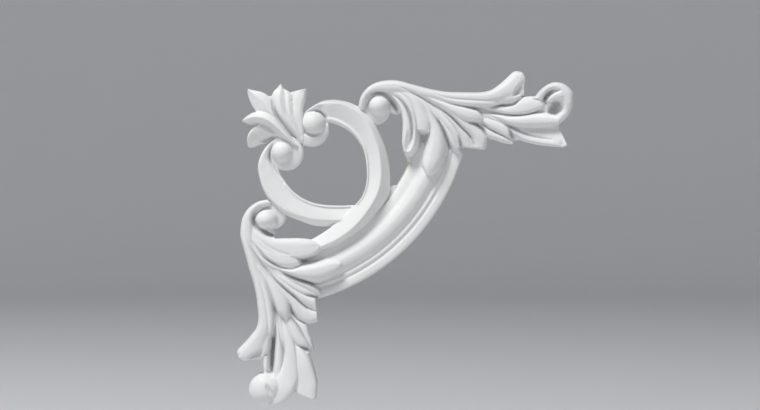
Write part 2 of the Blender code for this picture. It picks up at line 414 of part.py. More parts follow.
    # spoon line
    if lower:
        r.groove(((90.5, 13.6, 0.9, 0.3), (95.6, 18.4, 1.2, 0.7), (99.6, 24.5, 1.4, 0.8),
                  (101.6, 30, 1.2, 0.6)))
    else:
        r.groove(((84.5, 11.6, 0.7, 0.4), (90.5, 14.4, 1.0, 1.4), (94.6, 18.8, 1.2, 2.2), (97.2, 24, 1.3, 2.8),
                  (98.4, 29, 1.4, 3.0), (98.6, 33, 1.4, 3.0), (98.1, 37, 1.3, 2.2), (97.0, 41, 1.1, 0.8)))
    # spoon bowl
    if lower:
        r.groove(((93.2, 11.0, 0.8, 0.4), (98.6, 14.6, 1.2, 1.8), (104.2, 18.6, 1.5, 2.8),
                  (109.0, 25.0, 1.5, 3.0), (110.4, 31.2, 1.4, 2.4), (109.0, 35.4, 1.1, 0.8)))
    else:
        r.groove(((96.6, 33.5, 1.6, 0.3), (96.3, 38, 2.1, 1.2), (96.0, 42.2, 1.9, 1.3), (95.8, 44.2, 1.0, 0.6)))


def arm_lines(r):
    """The cuts that part the leaves of an arm: middle, half width and depth down each one."""
    for rows in (
        ((91, 8.2, 0.6, 0.2), (97, 10.4, 0.9, 0.9), (103, 13.7, 1.1, 1.6), (109, 17.2, 1.2, 1.9),
         (116, 21.6, 1.3, 2.2), (122, 26.4, 1.4, 2.4), (127.5, 32.0, 1.3, 2.2), (132, 36.2, 1.0, 0.8),
         (134, 38.0, 0.7, 0.2)),
        ((109, 22.5, 0.7, 0.4), (113.4, 28.0, 1.1, 1.8), (116.6, 33.6, 1.4, 2.8), (118.8, 39, 1.5, 2.6),
         (120.6, 42.6, 1.2, 1.0)),
        ((125.2, 36.0, 0.7, 0.5), (125.9, 39.5, 1.1, 2.0), (126.8, 43.0, 1.2, 2.2)),
        ((112, 15.4, 0.7, 0.4), (118, 17.2, 0.9, 1.0), (126, 18.9, 1.1, 1.5), (134, 20.4, 1.3, 2.2),
         (141, 21.4, 1.4, 2.2), (148, 22.7, 1.2, 1.8), (157, 24.0, 1.0, 1.4), (165, 23.6, 0.9, 1.0),
         (171, 21.8, 0.6, 0.3)),
        ((143.5, 19.4, 0.8, 0.5), (148, 18.4, 1.2, 2.2), (153, 18.4, 1.2, 2.4), (157, 17.4, 1.2, 2.2),
         (159.6, 14.6, 0.9, 1.0)),
        ((161.8, 5.0, 1.2, 0.4), (160.2, 8.2, 2.4, 2.6), (158.4, 11.0, 2.2, 2.8), (156.6, 12.6, 1.2, 0.8)),
        ((112, 12.2, 0.7, 0.2), (120, 14.6, 0.8, 0.4), (132, 15.6, 0.8, 0.45), (145, 16.2, 0.7, 0.2)),
        ((143, 24.6, 0.7, 0.4), (149.5, 27.2, 1.1, 1.4), (156, 31.1, 1.3, 2.0), (163, 34.4, 1.4, 2.0),
         (170, 36.6, 1.2, 1.4), (178, 38.2, 0.9, 0.4)),
        ((137, 26.6, 0.8, 0.8), (141.5, 31.0, 0.9, 1.2), (147, 34.2, 1.0, 1.4), (152, 36.3, 0.8, 0.6)),
        ((153.8, 31.6, 0.8, 0.8), (155.3, 35.0, 1.5, 2.8), (157.2, 38.6, 1.7, 2.6)),
        ((131, 28.4, 0.9, 1.0), (135.0, 29.3, 1.2, 2.4), (138.6, 31.6, 1.3, 2.4), (141.0, 35.4, 1.1, 1.6)),
        ((175, 30.2, 0.8, 0.3), (179, 30.0, 1.2, 1.4), (183, 29.6, 1.4, 2.0)),
        ((168.2, 15.0, 0.9, 0.8), (170, 15.3, 1.3, 1.8), (172.2, 15.2, 0.8, 0.6)),
    ):
        r.groove(rows)


def arms(r):
    """The right arm, and the lower one as its mirror image with the drift of hand carving."""
    along, out_shift, in_shift, run = (np.array(column) for column in zip(*LOWER_ARM_DRIFT))
    for lower in (False, True):
        a, b = (r.d, r.x) if lower else (r.x, r.d)
        if lower:
            share = np.clip((b - 8) / 30, 0, 1)
            b = b - np.interp(a, along, out_shift) * (1 - share) - np.interp(a, along, in_shift) * share
            a = a - np.interp(a, along, run)
        part = Relief(a, b, r.h, r.inside)
        arm_end(part, lower)
        arm_head(part, lower)
        arm_lines(part)
        r.h, r.inside = part.h, part.inside


def ornament(x, d):
    """Height and silhouette of the whole ornament over the points."""
    r = Relief(x, d)
    for build in (bow, ring, palmette, arms):
        build(r)
    return r.h, r.inside


# The solid


def cut_cells(inside):
    """Triangles of the grid clipped to the silhouette.

    Each grid square is halved along its diagonal. A corner of the result is a pair of grid points: the same
    one twice for a point inside, or an inner and an outer one for the crossing between them."""
    rows, cols = inside.shape
    index = np.arange(rows * cols).reshape(rows, cols)
    a, b, c, d = index[:-1, :-1].ravel(), index[:-1, 1:].ravel(), index[1:, 1:].ravel(), index[1:, :-1].ravel()
    triangles = np.vstack([np.column_stack([a, b, c]), np.column_stack([a, c, d])])
    keep = inside.ravel() > 0
    result = []
    for tri in triangles[keep[triangles].any(1)]:
        state = keep[tri]
        loop = []
        for i in range(3):
            p, q = tri[i], tri[(i + 1) % 3]
            if state[i]:
                loop.append((p, p))
            if state[i] != state[(i + 1) % 3]:
                loop.append((p, q) if state[i] else (q, p))
        for i in range(1, len(loop) - 1):
            result.append((loop[0], loop[i], loop[i + 1]))
    return result


def largest_body(triangles):
    """The triangles that hang together with most of the others."""
    parent = {}

    def root(v):
        while parent.setdefault(v, v) != v:
            parent[v] = parent[parent[v]]
            v = parent[v]
        return v
    for tri in triangles:
        for other in tri[1:]:
            parent[root(other)] = root(tri[0])
    count = {}
    for tri in triangles:
        count[root(tri[0])] = count.get(root(tri[0]), 0) + 1
    main = max(count, key=count.get)
    return [tri for tri in triangles if root(tri[0]) == main]


def solid(name, material):
    """The closed casting: carved front, straight sides down to the flat back."""
    line = np.arange(-GRID, SIDE + 2 * GRID, GRID) + 0.5 * GRID
    x, d = (axis.ravel() for axis in np.meshgrid(line, line))
    height, inside = ornament(x, d)
    inside = np.where(np.abs(inside) < 0.12, 0.12 * np.sign(inside + 1e-9), inside)
    triangles = largest_body(cut_cells(inside.reshape(line.size, line.size)))
    corners = sorted({corner for tri in triangles for corner in tri})
    number = {corner: i for i, corner in enumerate(corners)}
    p, q = (np.array(column) for column in zip(*corners))
    t = np.where(p == q, 0.0, inside[p] / np.where(p == q, 1.0, inside[p] - inside[q]))
    px, pd = x[p] + (x[q] - x[p]) * t, d[p] + (d[q] - d[p]) * t
    top = np.maximum(height[p] + (height[q] - height[p]) * t * 0.3, 3.0)
    px, pd = (SIDE * (axis - axis.min()) / np.ptp(axis) for axis in (px, pd))
    front = np.column_stack([px - ORIGIN, -top, ORIGIN - pd]) * MM
    back = front * (1, 0, 1)
    n = len(corners)
    faces, border = [], {}
    for tri in triangles:
        i, j, k = (number[corner] for corner in tri)
        faces += [(i, k, j), (i + n, j + n, k + n)]
        for u, v in ((i, j), (j, k), (k, i)):
            if border.pop((v, u), None) is None:
                border[(u, v)] = True
    for u, v in border:
        faces += [(u, v, v + n), (u, v + n, u + n)]
    mesh = bpy.data.meshes.new(name)
    mesh.from_pydata(np.vstack([front, back]).tolist(), [], faces)
    mesh.materials.append(material)
    mesh.shade_smooth()
    mesh.set_sharp_from_angle(angle=np.radians(50))
    body = bpy.data.objects.new(name, mesh)
    bpy.context.scene.collection.objects.link(body)
    slim = body.modifiers.new("slim", "DECIMATE")
    slim.ratio = FACES / len(faces)
    slim.use_collapse_triangulate = True
    return body


def foam():
    """White primed foam, matt."""
    material = bpy.data.materials.new("white_foam")
    material.use_nodes = True
    shader = material.node_tree.nodes["Principled BSDF"]
    shader.inputs["Base Color"].default_value = (0.86, 0.86, 0.85, 1.0)
    shader.inputs["Roughness"].default_value = 0.62
    return material


for leftover in list(bpy.data.objects):
    bpy.data.objects.remove(leftover)
solid("corner_ornament", foam())
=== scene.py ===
"""Looks of a carved corner ornament in white primed foam.

Layout: all carving is given in millimetres over the ornament's 190 mm square, x to the right and d down from
its top left corner, heights above the flat back. The world frame has its origin on the back of the quarter
moulding; +X runs right, +Z up, and the carved front faces -Y.
"""
from __future__ import annotations

import logging
import math
from dataclasses import dataclass, field, replace
from enum import Enum
from typing import Dict, List, Optional, Protocol, Sequence, Tuple

import bmesh
import bpy
import numpy as np
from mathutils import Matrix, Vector


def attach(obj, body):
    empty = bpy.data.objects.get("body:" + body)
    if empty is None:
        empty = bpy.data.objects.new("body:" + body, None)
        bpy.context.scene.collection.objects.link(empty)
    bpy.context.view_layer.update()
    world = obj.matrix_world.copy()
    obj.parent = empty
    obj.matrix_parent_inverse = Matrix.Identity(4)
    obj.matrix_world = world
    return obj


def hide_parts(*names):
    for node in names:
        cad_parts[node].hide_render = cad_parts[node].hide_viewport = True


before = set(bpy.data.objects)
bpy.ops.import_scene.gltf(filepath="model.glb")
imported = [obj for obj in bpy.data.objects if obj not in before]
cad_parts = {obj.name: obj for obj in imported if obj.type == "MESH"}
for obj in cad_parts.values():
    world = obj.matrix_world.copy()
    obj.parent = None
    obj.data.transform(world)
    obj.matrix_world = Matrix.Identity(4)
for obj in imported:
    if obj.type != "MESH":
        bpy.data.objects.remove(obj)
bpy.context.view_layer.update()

log = logging.getLogger("corner_ornament")

# A millimetre in metres, and in mm the square's side and the place of the frame's origin in it.
MM = 0.001
SIDE = 190.0
ORIGIN = 87.4

STATION_STEP = 0.5
GRID_STEP = 0.3

# Forms, in mm: how steeply a form falls outside its edge, the fillet round its foot, how far outside a leaf
# or a cut points are looked at, the narrowest leaf and cut, and the value that stands for far outside.
SKIRT = 3.0
BLEND = 0.3
LEAF_MARGIN = 2.5
CUT_MARGIN = 0.5
NARROWEST_LEAF = 0.1
NARROWEST_CUT = 0.01
FAR_OUTSIDE = -99.0

# The ball of an eye: how much of the half ball is used, how far that much drops over its radius, and how
# steeply it falls outside. A turn falls to its rim by this power.
BALL_SHARE = 0.92
BALL_DROP = 0.72
EYE_SKIRT = 2.5
TURN_POWER = 2.5

# Pieces, in mm: underside of the carved pieces, lowest carved front, rounding of the outline, softening of
# the carving, the softening that hollows are measured against, and the hollow depth that gets full painted
# shade.
BASE = 0.35
LOWEST = 3.0
ROUND_EDGE = 1.0
SOFTEN = 0.3
HOLLOW_SOFTEN = 1.5
FULL_SHADE_DEPTH = 1.2

# Meshes: an edge sharper than this many degrees stays sharp; corners closer than this, in metres, are one.
SHARP_ANGLE = 50.0
MERGE = 1e-7

# Unevenness of the casting, in metres: depth and size of its waves, and the y where it starts and is full.
SKIN_DEPTH = 0.00012
SKIN_SIZE = 0.006
SKIN_START = -0.002
SKIN_FULL = -0.004

# Patterns in the finishes, in metres.
CLOUD_SIZE = 0.02
SHADE_SPECK_SIZE = 0.0008
GRAIN_SIZE = 0.0006
GRAIN_DEPTH = 0.00003
TOOL_SIZE = 0.004
TOOL_DEPTH = 0.00008
PORE_SIZE = 0.0016
PORE_DEPTH = 0.0003

# The photograph's camera: width of the picture and its scale on the carving, lens and sensor in mm, the
# camera's place across and up in mm, how far before the back the scale holds, and where the lamps aim.
PHOTO_WIDTH = 760
PIXELS_PER_MM = 1.7595
LENS = 85.0
SENSOR = 36.0
CAMERA_X = -6.5
CAMERA_Z = 11.6
MID_DEPTH = 6.0
AIM = (0.0, 0.0, 0.0)

Row = Tuple[float, ...]
Stop = Tuple[float, float, float, float]


class Section(Enum):
    """How the surface falls from a leaf's crest to its edge, as the power of its fall."""

    ROUND = 2.0
    CUSHION = 2.8
    RIDGE = 1.1
    FLAT = 1.6

    def share(self, q: np.ndarray) -> np.ndarray:
        """Share of the fall reached at q.

        Args:
            q: 0 on the crest to 1 on the edge.

        Returns:
            0 on the crest to 1 on the edge.
        """
        if self is Section.FLAT:
            q = np.clip(2 * q - 1, 0, 1)
        return q ** self.value


class Square(Enum):
    """Which ends of a leaf are cut square; the others are round."""

    NONE = ()
    START = ("start",)
    END = ("end",)
    BOTH = ("start", "end")


def curve_through(rows: Sequence[Sequence[float]], step: float = STATION_STEP) -> np.ndarray:
    """Even stations on a smooth curve through rows.

    Args:
        rows: points; columns after the first two ride along.
        step: spacing of the stations in mm.

    Returns:
        One station per line, with the columns of the rows.
    """
    p = np.array(rows, float)
    p = np.vstack([2 * p[0] - p[1], p, 2 * p[-1] - p[-2]])
    parts = []
    for i in range(1, len(p) - 2):
        a, b, c, e = p[i - 1:i + 3]
        n = max(2, int(np.hypot(*(c - b)[:2]) / step))
        t = (np.arange(n) / n)[:, None]
        cubic = 3 * b - a - 3 * c + e
        parts.append(0.5 * (2 * b + (c - a) * t + (2 * a - 5 * b + 4 * c - e) * t ** 2 + cubic * t ** 3))
    parts.append(p[-2][None])
    return np.vstack(parts)


def soft_max(a: np.ndarray, b: np.ndarray, k: float) -> np.ndarray:
    """The higher of two surfaces with the corner between them filled.

    Args:
        a: first heights in mm.
        b: second heights in mm.
        k: size of the fillet in mm.

    Returns:
        Heights in mm.
    """
    return np.maximum(a, b) + np.maximum(k - np.abs(a - b), 0) ** 2 / (4 * k)


@dataclass
class Relief:
    """Height and silhouette over a set of points; a point is on the piece where inside is above zero."""

    x: np.ndarray
    d: np.ndarray
    h: np.ndarray
    inside: np.ndarray

    @classmethod
    def over(cls, x: np.ndarray, d: np.ndarray) -> "Relief":
        """A bare relief over the points x, d."""
        return cls(x, d, np.zeros(x.size), np.full(x.size, FAR_OUTSIDE))

    def nearest(self, s: np.ndarray, half: np.ndarray, margin: float) -> Tuple[np.ndarray, ...]:
        """Finds, for the points near a row of discs, the disc that each is deepest in.

        Args:
            s: centres of the discs.
            half: their radii.
            margin: how far outside the discs points still count.

        Returns:
            Indices of the points, index of each one's disc, and distance outside the row of discs.
        """
        reach = half.max() + margin
        low, high = s.min(0) - reach, s.max(0) + reach
        near = (self.x > low[0]) & (self.x < high[0]) & (self.d > low[1]) & (self.d < high[1])
        idx = np.nonzero(near)[0]
        best, at = np.full(idx.size, np.inf), np.zeros(idx.size, int)
        batch = 32
        for first in range(0, len(s), batch):
            seg, r = s[first:first + batch], half[first:first + batch]
            gap = np.hypot(self.x[idx, None] - seg[:, 0], self.d[idx, None] - seg[:, 1]) - r
            j = gap.argmin(1)
            g = gap[np.arange(idx.size), j]
            at = np.where(g < best, j + first, at)
            best = np.minimum(g, best)
        return idx, at, best

    def raise_to(self, idx: np.ndarray, h: np.ndarray, gap: np.ndarray, k: float) -> None:
        """Lifts points to a new form's surface.

        Args:
            idx: indices of the points.
            h: the form's heights there.
            gap: distance outside the form.
            k: fillet against what is already there.
        """
        self.h[idx] = soft_max(self.h[idx], h, k)
        self.inside[idx] = np.maximum(self.inside[idx], -gap)


@dataclass(frozen=True)
class Leaf:
    """A leaf, roll or band between two edges.

    Each row holds a point on the first edge, the point opposite on the second edge, and the height of the
    crest between them. fall is the drop from the crest to each edge. The crest runs midway, or is moved
    towards the first (-1) or the second edge (+1) by lean, or by a sixth number in each row.
    """

    rows: Sequence[Row]
    fall: Tuple[float, float]
    section: Section = Section.ROUND
    lean: float = 0.0
    square: Square = Square.NONE
    fillet: float = BLEND

    def carve(self, r: Relief) -> None:
        """Adds the leaf.

        Args:
            r: the relief it is added to.
        """
        e = curve_through(self.rows)
        mid, across = (e[:, :2] + e[:, 2:4]) / 2, e[:, 2:4] - e[:, :2]
        width = np.maximum(np.hypot(across[:, 0], across[:, 1]), NARROWEST_LEAF)
        n, half = across / width[:, None], width / 2
        idx, at, gap = r.nearest(mid, half, LEAF_MARGIN)
        spot = np.column_stack([r.x[idx], r.d[idx]])
        for end, inner, name in ((0, 3, "start"), (-1, -4, "end")):
            if name in self.square.value:
                out = np.array([n[end, 1], -n[end, 0]])
                out *= np.sign(out @ (mid[end] - mid[inner]))
                past = (spot - mid[end]) @ out
                close = np.hypot(*(spot - mid[end]).T) < 2 * half[end] + 2
                gap = np.where((past > 0) & close, np.maximum(gap, past), gap)
        off = spot - mid[at]
        lateral = (off * n[at]).sum(1) / half[at]
        along = np.clip((off ** 2).sum(1) / half[at] ** 2 - lateral ** 2, 0, None)
        lean = e[at, 5] if e.shape[1] > 5 else self.lean
        second = lateral > lean
        u = np.where(second, (lateral - lean) / (1 - lean), (lean - lateral) / (1 + lean))
        q = np.clip(np.sqrt(u ** 2 + along), 0, 1)
        drop = np.where(second, self.fall[1], self.fall[0])
        h = e[at, 4] - drop * self.section.share(q) - SKIRT * np.maximum(gap, 0)
        r.raise_to(idx, h, gap, self.fillet)


@dataclass(frozen=True)
class Cut:
    """A cut with a round section; each stop holds its middle, half width and depth."""

    stops: Sequence[Stop]

    def carve(self, r: Relief) -> None:
        """Makes the cut.

        Args:
            r: the relief it goes into.
        """
        s = curve_through(self.stops)
        half = np.maximum(s[:, 2], NARROWEST_CUT)
        idx, at, gap = r.nearest(s[:, :2], half, CUT_MARGIN)
        q = np.clip((gap + half[at]) / half[at], 0, 1)
        r.h[idx] -= s[at, 3] * (1 - q ** 2) ** 2 * (gap < 0)


@dataclass(frozen=True)
class Eye:
    """The round eye of a scroll, a ball that swells out of its turn: how far it drops over its radius."""

    x: float
    d: float
    radius: float
    top: float
    drop: float = 5.0
    fillet: float = 3.0

    def carve(self, r: Relief) -> None:
        """Adds the eye.

        Args:
            r: the relief it is added to.
        """
        dist = np.hypot(r.x - self.x, r.d - self.d)
        q = dist / self.radius
        round_side = 1 - np.sqrt(np.clip(1 - BALL_SHARE * np.minimum(q, 1) ** 2, 0, 1))
        gap = dist - self.radius
        h = self.top - self.drop * round_side / BALL_DROP - EYE_SKIRT * np.maximum(gap, 0)
        r.raise_to(np.arange(r.x.size), h, gap, self.fillet)


@dataclass(frozen=True)
class Turn:
    """The round turn of a scroll under its eye, slightly domed towards its rim."""

    x: float
    d: float
    radius: float
    height: float
    dome: float = 1.8

    def carve(self, r: Relief) -> None:
        """Adds the turn.

        Args:
            r: the relief it is added to.
        """
        dist = np.hypot(r.x - self.x, r.d - self.d)
        h = self.height - self.dome * np.minimum(dist / self.radius, 1) ** TURN_POWER
        gap = dist - self.radius
        r.raise_to(np.arange(r.x.size), h - SKIRT * np.maximum(gap, 0), gap, BLEND)


@dataclass(frozen=True)
class Window:
    """The part of the square that a piece is carved in, as its lowest and highest x and d."""

    x0: float
    d0: float
    x1: float
    d1: float

    def lines(self, step: float) -> Tuple[np.ndarray, np.ndarray]:
        """Grid lines across the window.

        Args:
            step: spacing in mm.

        Returns:
            The lines' x and d.
        """
        return np.arange(self.x0, self.x1 + step, step), np.arange(self.d0, self.d1 + step, step)


@dataclass
class Sheet:
    """A flat sheet of triangles cut out of a grid along a silhouette.

    Corners come as pairs of grid points: the same one twice for a point inside the silhouette, or an inner
    and an outer one for a crossing, which lies at share of the way out.
    """

    inner: np.ndarray
    outer: np.ndarray
    share: np.ndarray
    triangles: np.ndarray

    @classmethod
    def cut(cls, inside: np.ndarray) -> "Sheet":
        """Clips a grid to its silhouette.

        Args:
            inside: signed distance to the silhouette, one value for each grid point.

        Returns:
            The sheet.
        """
        rows, cols = inside.shape
        index = np.arange(rows * cols).reshape(rows, cols)
        a, b, c, d = index[:-1, :-1], index[:-1, 1:], index[1:, 1:], index[1:, :-1]
        halves = np.stack([a, b, c], -1), np.stack([a, c, d], -1)
        cells = np.vstack([half.reshape(-1, 3) for half in halves])
        flat, size = inside.ravel(), rows * cols
        keep = flat > 0
        count = keep[cells].sum(1)
        full = cells[count == 3] * (size + 1)
        one = cls.turned(cells[count == 1], keep)
        two = cls.turned(cells[count == 2], ~keep)
        tip = one[:, 0] * size
        tips = np.column_stack([tip + one[:, 0], tip + one[:, 1], tip + one[:, 2]])
        first, last = two[:, 1] * size + two[:, 0], two[:, 2] * size + two[:, 0]
        near, far = two[:, 1] * (size + 1), two[:, 2] * (size + 1)
        bands = np.column_stack([first, near, far]), np.column_stack([first, far, last])
        corners, triangles = np.unique(np.vstack([full, tips, *bands]), return_inverse=True)
        p, q = corners // size, corners % size
        share = np.where(p == q, 0.0, flat[p] / np.where(p == q, 1.0, flat[p] - flat[q]))
        return cls(p, q, share, triangles.reshape(-1, 3))

    @staticmethod
    def turned(cells: np.ndarray, marked: np.ndarray) -> np.ndarray:
        """The cells with their one marked corner turned to the front."""
        start = marked[cells].argmax(1)[:, None]
        return np.take_along_axis(cells, (start + np.arange(3)) % 3, 1)

    def at(self, values: np.ndarray, reach: float = 1.0) -> np.ndarray:
        """Values of the grid at the sheet's corners.

        Args:
            values: one value for each grid point.
            reach: how much of the change towards the outer point counts.

        Returns:
            One value for each corner.
        """
        flat = values.ravel()
        return flat[self.inner] + (flat[self.outer] - flat[self.inner]) * self.share * reach

    def border(self) -> np.ndarray:
        """Finds the edges with a triangle on one side only.

        Returns:
            Pairs of corners, in the triangles' direction.
        """
        t, size = self.triangles, self.inner.size
        edges = np.vstack([t[:, [0, 1]], t[:, [1, 2]], t[:, [2, 0]]])
        forward, backward = edges[:, 0] * size + edges[:, 1], edges[:, 1] * size + edges[:, 0]
        return edges[~np.isin(forward, backward)]


def blurred(values: np.ndarray, passes: int) -> np.ndarray:
    """Softens the values of a grid.

    Args:
        values: one value for each grid point.
        passes: how many times each point is mixed with its neighbours.

    Returns:
        The softened values.
    """
    for _ in range(passes):
        p = np.pad(values, 1, mode="edge")
        p = (p[:-2] + 2 * p[1:-1] + p[2:]) / 4
        values = (p[:, :-2] + 2 * p[:, 1:-1] + p[:, 2:]) / 4
    return values


@dataclass(frozen=True)
class Square190:
    """How the drawn silhouette is fitted to the square: its own limits in x and d."""

    x0: float
    x1: float
    d0: float
    d1: float

    def place(self, x: np.ndarray, d: np.ndarray, h: np.ndarray) -> np.ndarray:
        """Places layout points in the frame.

        Args:
            x: distances to the right in mm.
            d: distances down in mm.
            h: heights above the flat back in mm.

        Returns:
            Points of the frame in metres, one per line.
        """
        px = SIDE * (x - self.x0) / (self.x1 - self.x0)
        pd = SIDE * (d - self.d0) / (self.d1 - self.d0)
        return np.column_stack([px - ORIGIN, -h, ORIGIN - pd]) * MM


@dataclass
class Body:
    """A closed mesh in the making."""

    name: str
    points: np.ndarray
    faces: List[Sequence[int]]
    painted_shade_mask: Optional[np.ndarray] = None

    @classmethod
    def from_sheet(cls, name: str, sheet: Sheet, front: np.ndarray, back: np.ndarray,
                   painted_shade_mask: Optional[np.ndarray] = None) -> "Body":
        """Closes a sheet with a copy of it behind and straight walls between.

        Args:
            name: name of the body.
            sheet: the sheet.
            front: its corners on the carved front, in the frame.
            back: the same corners on the back.
            painted_shade_mask: how deep each front corner lies below its surroundings, which sets its
                painted shade.

        Returns:
            The body, its faces turned outwards.
        """
        n = len(front)
        t, edges = sheet.triangles, sheet.border()
        walls = np.column_stack([edges[:, 0], edges[:, 1], edges[:, 1] + n, edges[:, 0] + n])
        faces = t[:, ::-1].tolist() + (t + n).tolist() + walls.tolist()
        values = None if painted_shade_mask is None else np.concatenate([painted_shade_mask, np.zeros(n)])
        return cls(name, np.vstack([front, back]), faces, values)

    def build(self) -> bpy.types.Object:
        """Makes the object, shaded smooth with its sharp corners kept.

        Returns:
            The object.
        """
        mesh = bpy.data.meshes.new(self.name)
        mesh.from_pydata(self.points.tolist(), [], self.faces)
        # The mask goes to the material, which darkens the colour of the hollows as painted shade.
        if self.painted_shade_mask is not None:
            layer = mesh.attributes.new("painted_shade_mask", "FLOAT", "POINT")
            layer.data.foreach_set("value", self.painted_shade_mask.astype(np.float32))
        body = bmesh.new()
        body.from_mesh(mesh)
        bmesh.ops.delete(body, geom=[v for v in body.verts if not v.link_faces], context="VERTS")
        bmesh.ops.dissolve_degenerate(body, dist=MERGE, edges=body.edges)
        bmesh.ops.recalc_face_normals(body, faces=body.faces)
        body.to_mesh(mesh)
        body.free()
        mesh.shade_smooth()
        mesh.set_sharp_from_angle(angle=math.radians(SHARP_ANGLE))
        piece = bpy.data.objects.new(self.name, mesh)
        bpy.context.scene.collection.objects.link(piece)
        return piece


class Form(Protocol):
    """Anything that can be carved into a relief."""

    def carve(self, r: Relief) -> None:
        """Carves itself into the relief r."""


class Side(Enum):
    """Which arm: the lower one is the mirror image of the right one."""

    RIGHT = "right"
    LOWER = "lower"


@dataclass
class ScrollRing:
    """Two C-scrolls that cross round the large opening, each ending in a small scroll with a round eye."""

    name: str = "scroll_ring"
    window: Window = Window(4, 10, 94, 110)
    under: Leaf = Leaf((
        (18.3, 38.8, 20.5, 39.8, 8.8, -0.6), (14.6, 43, 18.2, 43.2, 9.8, -0.7),
        (11.4, 49.2, 18.0, 49, 10.4, -0.8), (10.4, 55, 22.2, 55.0, 10.8, -0.88),
        (12.8, 65.2, 24.2, 59.6, 11.0, -0.86), (17.8, 73.8, 28.9, 65.7, 11.0, -0.78),
        (24.6, 79.8, 33.8, 70.2, 11.0, -0.68), (33, 83.8, 39.2, 73.1, 11.0, -0.56),
        (41, 86.8, 44.6, 74.7, 10.8, -0.45), (49.5, 87.9, 50.5, 75.5, 10.4, -0.38),
        (58, 88, 58, 75.7, 10, -0.36), (68, 87, 68, 75.7, 9.4, -0.36)), (4.2, 3.0), Section.RIDGE)
    under_rim: Leaf = Leaf((
        (23.2, 57.8, 22.2, 58.6, 8.4), (28.9, 65.7, 27.7, 66.7, 9.0), (33.8, 70.2, 32.9, 71.5, 9.1),
        (39.2, 73.1, 38.6, 74.5, 9.1), (44.6, 74.7, 44.3, 76.2, 9.0), (50.5, 75.5, 50.4, 77.0, 8.8),
        (58, 75.7, 58, 77.1, 8.4), (66, 75.4, 66, 76.6, 8.0)), (0.8, 0.8), fillet=0.15)
    over: Leaf = Leaf((
        (37.2, 21.5, 38.2, 23.5, 9.6, -0.5), (41, 19.0, 42.4, 22.3, 10.6, -0.6),
        (46, 16.3, 47.5, 22.5, 11.6, -0.68), (51, 15.1, 50.5, 27.3, 12.0, -0.72),
        (56.5, 15.1, 55, 28.7, 12.2, -0.7), (63, 16.6, 59, 30.5, 12.3, -0.66),
        (70, 20.3, 63.0, 33.1, 12.4, -0.58), (75.5, 26, 66.5, 36.5, 12.4, -0.48),
        (79.7, 33.4, 69.1, 40.4, 12.4, -0.4), (83.0, 41.4, 71.4, 45.4, 12.5, -0.34),
        (85.2, 50, 72.5, 51.6, 12.7, -0.27), (86.2, 60, 72.8, 59.5, 13.0, -0.17),
        (84.8, 69, 72.0, 65.3, 13.3, -0.14), (80.8, 75.8, 69.9, 70.7, 13.5, -0.2),
        (75.3, 83.2, 66.4, 75.0, 13.5, -0.28), (69.2, 89.8, 61, 80.6, 13.3, -0.36),
        (61.3, 95.4, 55, 86, 13.0, -0.44), (53, 99.6, 48.5, 90.8, 12.6, -0.47),
        (45, 102.2, 41.3, 95, 12.2, -0.47), (37, 104, 36, 97, 11.4, -0.47)), (6.0, 3.8), Section.RIDGE)
    over_rim: Leaf = Leaf((
        (50.3, 27.6, 49.2, 24.4, 9.6), (53.6, 28.1, 54.3, 25.2, 10.0), (58.2, 29.9, 59.8, 27.6, 10.2),
        (63.3, 33.4, 65.2, 31.5, 10.3), (67.2, 37.7, 69.4, 36.3, 10.4), (70.5, 43.3, 72.3, 42.5, 10.5),
        (72.2, 50, 73.6, 49.7, 10.8), (72.8, 57, 73.9, 57.1, 11.0), (72.3, 64, 73.3, 64.3, 11.2),
        (70.2, 70, 71.1, 70.6, 11.2), (67, 74.6, 67.9, 75.4, 11.0)), (0.9, 0.9), fillet=0.15)
    gusset: Leaf = Leaf((
        (85.4, 64.4, 90.4, 64.0, 4.4), (84.0, 69.6, 87.8, 70.2, 4.4), (79.8, 75.2, 83.4, 77.4, 4.6),
        (74.2, 82.0, 77.6, 84.8, 4.6), (68.6, 88.2, 71.4, 91.4, 4.4)), (0.4, 0.4), Section.FLAT,
        square=Square.START)
    upper_turn: Turn = Turn(41.0, 31.6, 10.2, 9.8)
    upper_eye: Eye = Eye(42.3, 28.3, 6.5, 13.8, 4.8, 2.4)
    lower_turn: Turn = Turn(26.3, 45.4, 10.2, 9.6)
    lower_eye: Eye = Eye(24.3, 44.8, 5.9, 13.8, 4.4, 2.2)
    lower_hollow: Cut = Cut((
        (20.4, 39.9, 0.8, 0.6), (18.2, 42.6, 1.2, 2.0), (17.1, 46.5, 1.3, 2.6), (17.6, 50.5, 1.3, 2.6),
        (19.5, 54.3, 1.3, 2.2), (22.0, 58, 1.2, 1.4), (25.4, 63.0, 0.9, 0.6)))
    upper_hollow: Cut = Cut((
        (43, 20.8, 0.7, 0.5), (46.6, 22.4, 1.1, 2.0), (49.1, 25.4, 1.2, 2.2), (49.5, 29, 1.0, 0.8)))
    foot_hollow: Cut = Cut((
        (35.4, 27.6, 0.8, 0.6), (35.9, 31, 1.3, 2.0), (38.4, 34.2, 1.5, 2.2), (42.5, 35.3, 1.5, 1.8),
        (46.2, 34.0, 1.0, 0.5)))

    def carve(self, r: Relief) -> None:
        """Carves the ring, lowest forms first.

        Args:
            r: the relief it is carved into.
        """
        for form in (self.under, self.under_rim, self.over, self.over_rim, self.gusset, self.upper_turn,
                     self.upper_eye, self.lower_turn, self.lower_eye, self.lower_hollow, self.upper_hollow,
                     self.foot_hollow):
            form.carve(r)


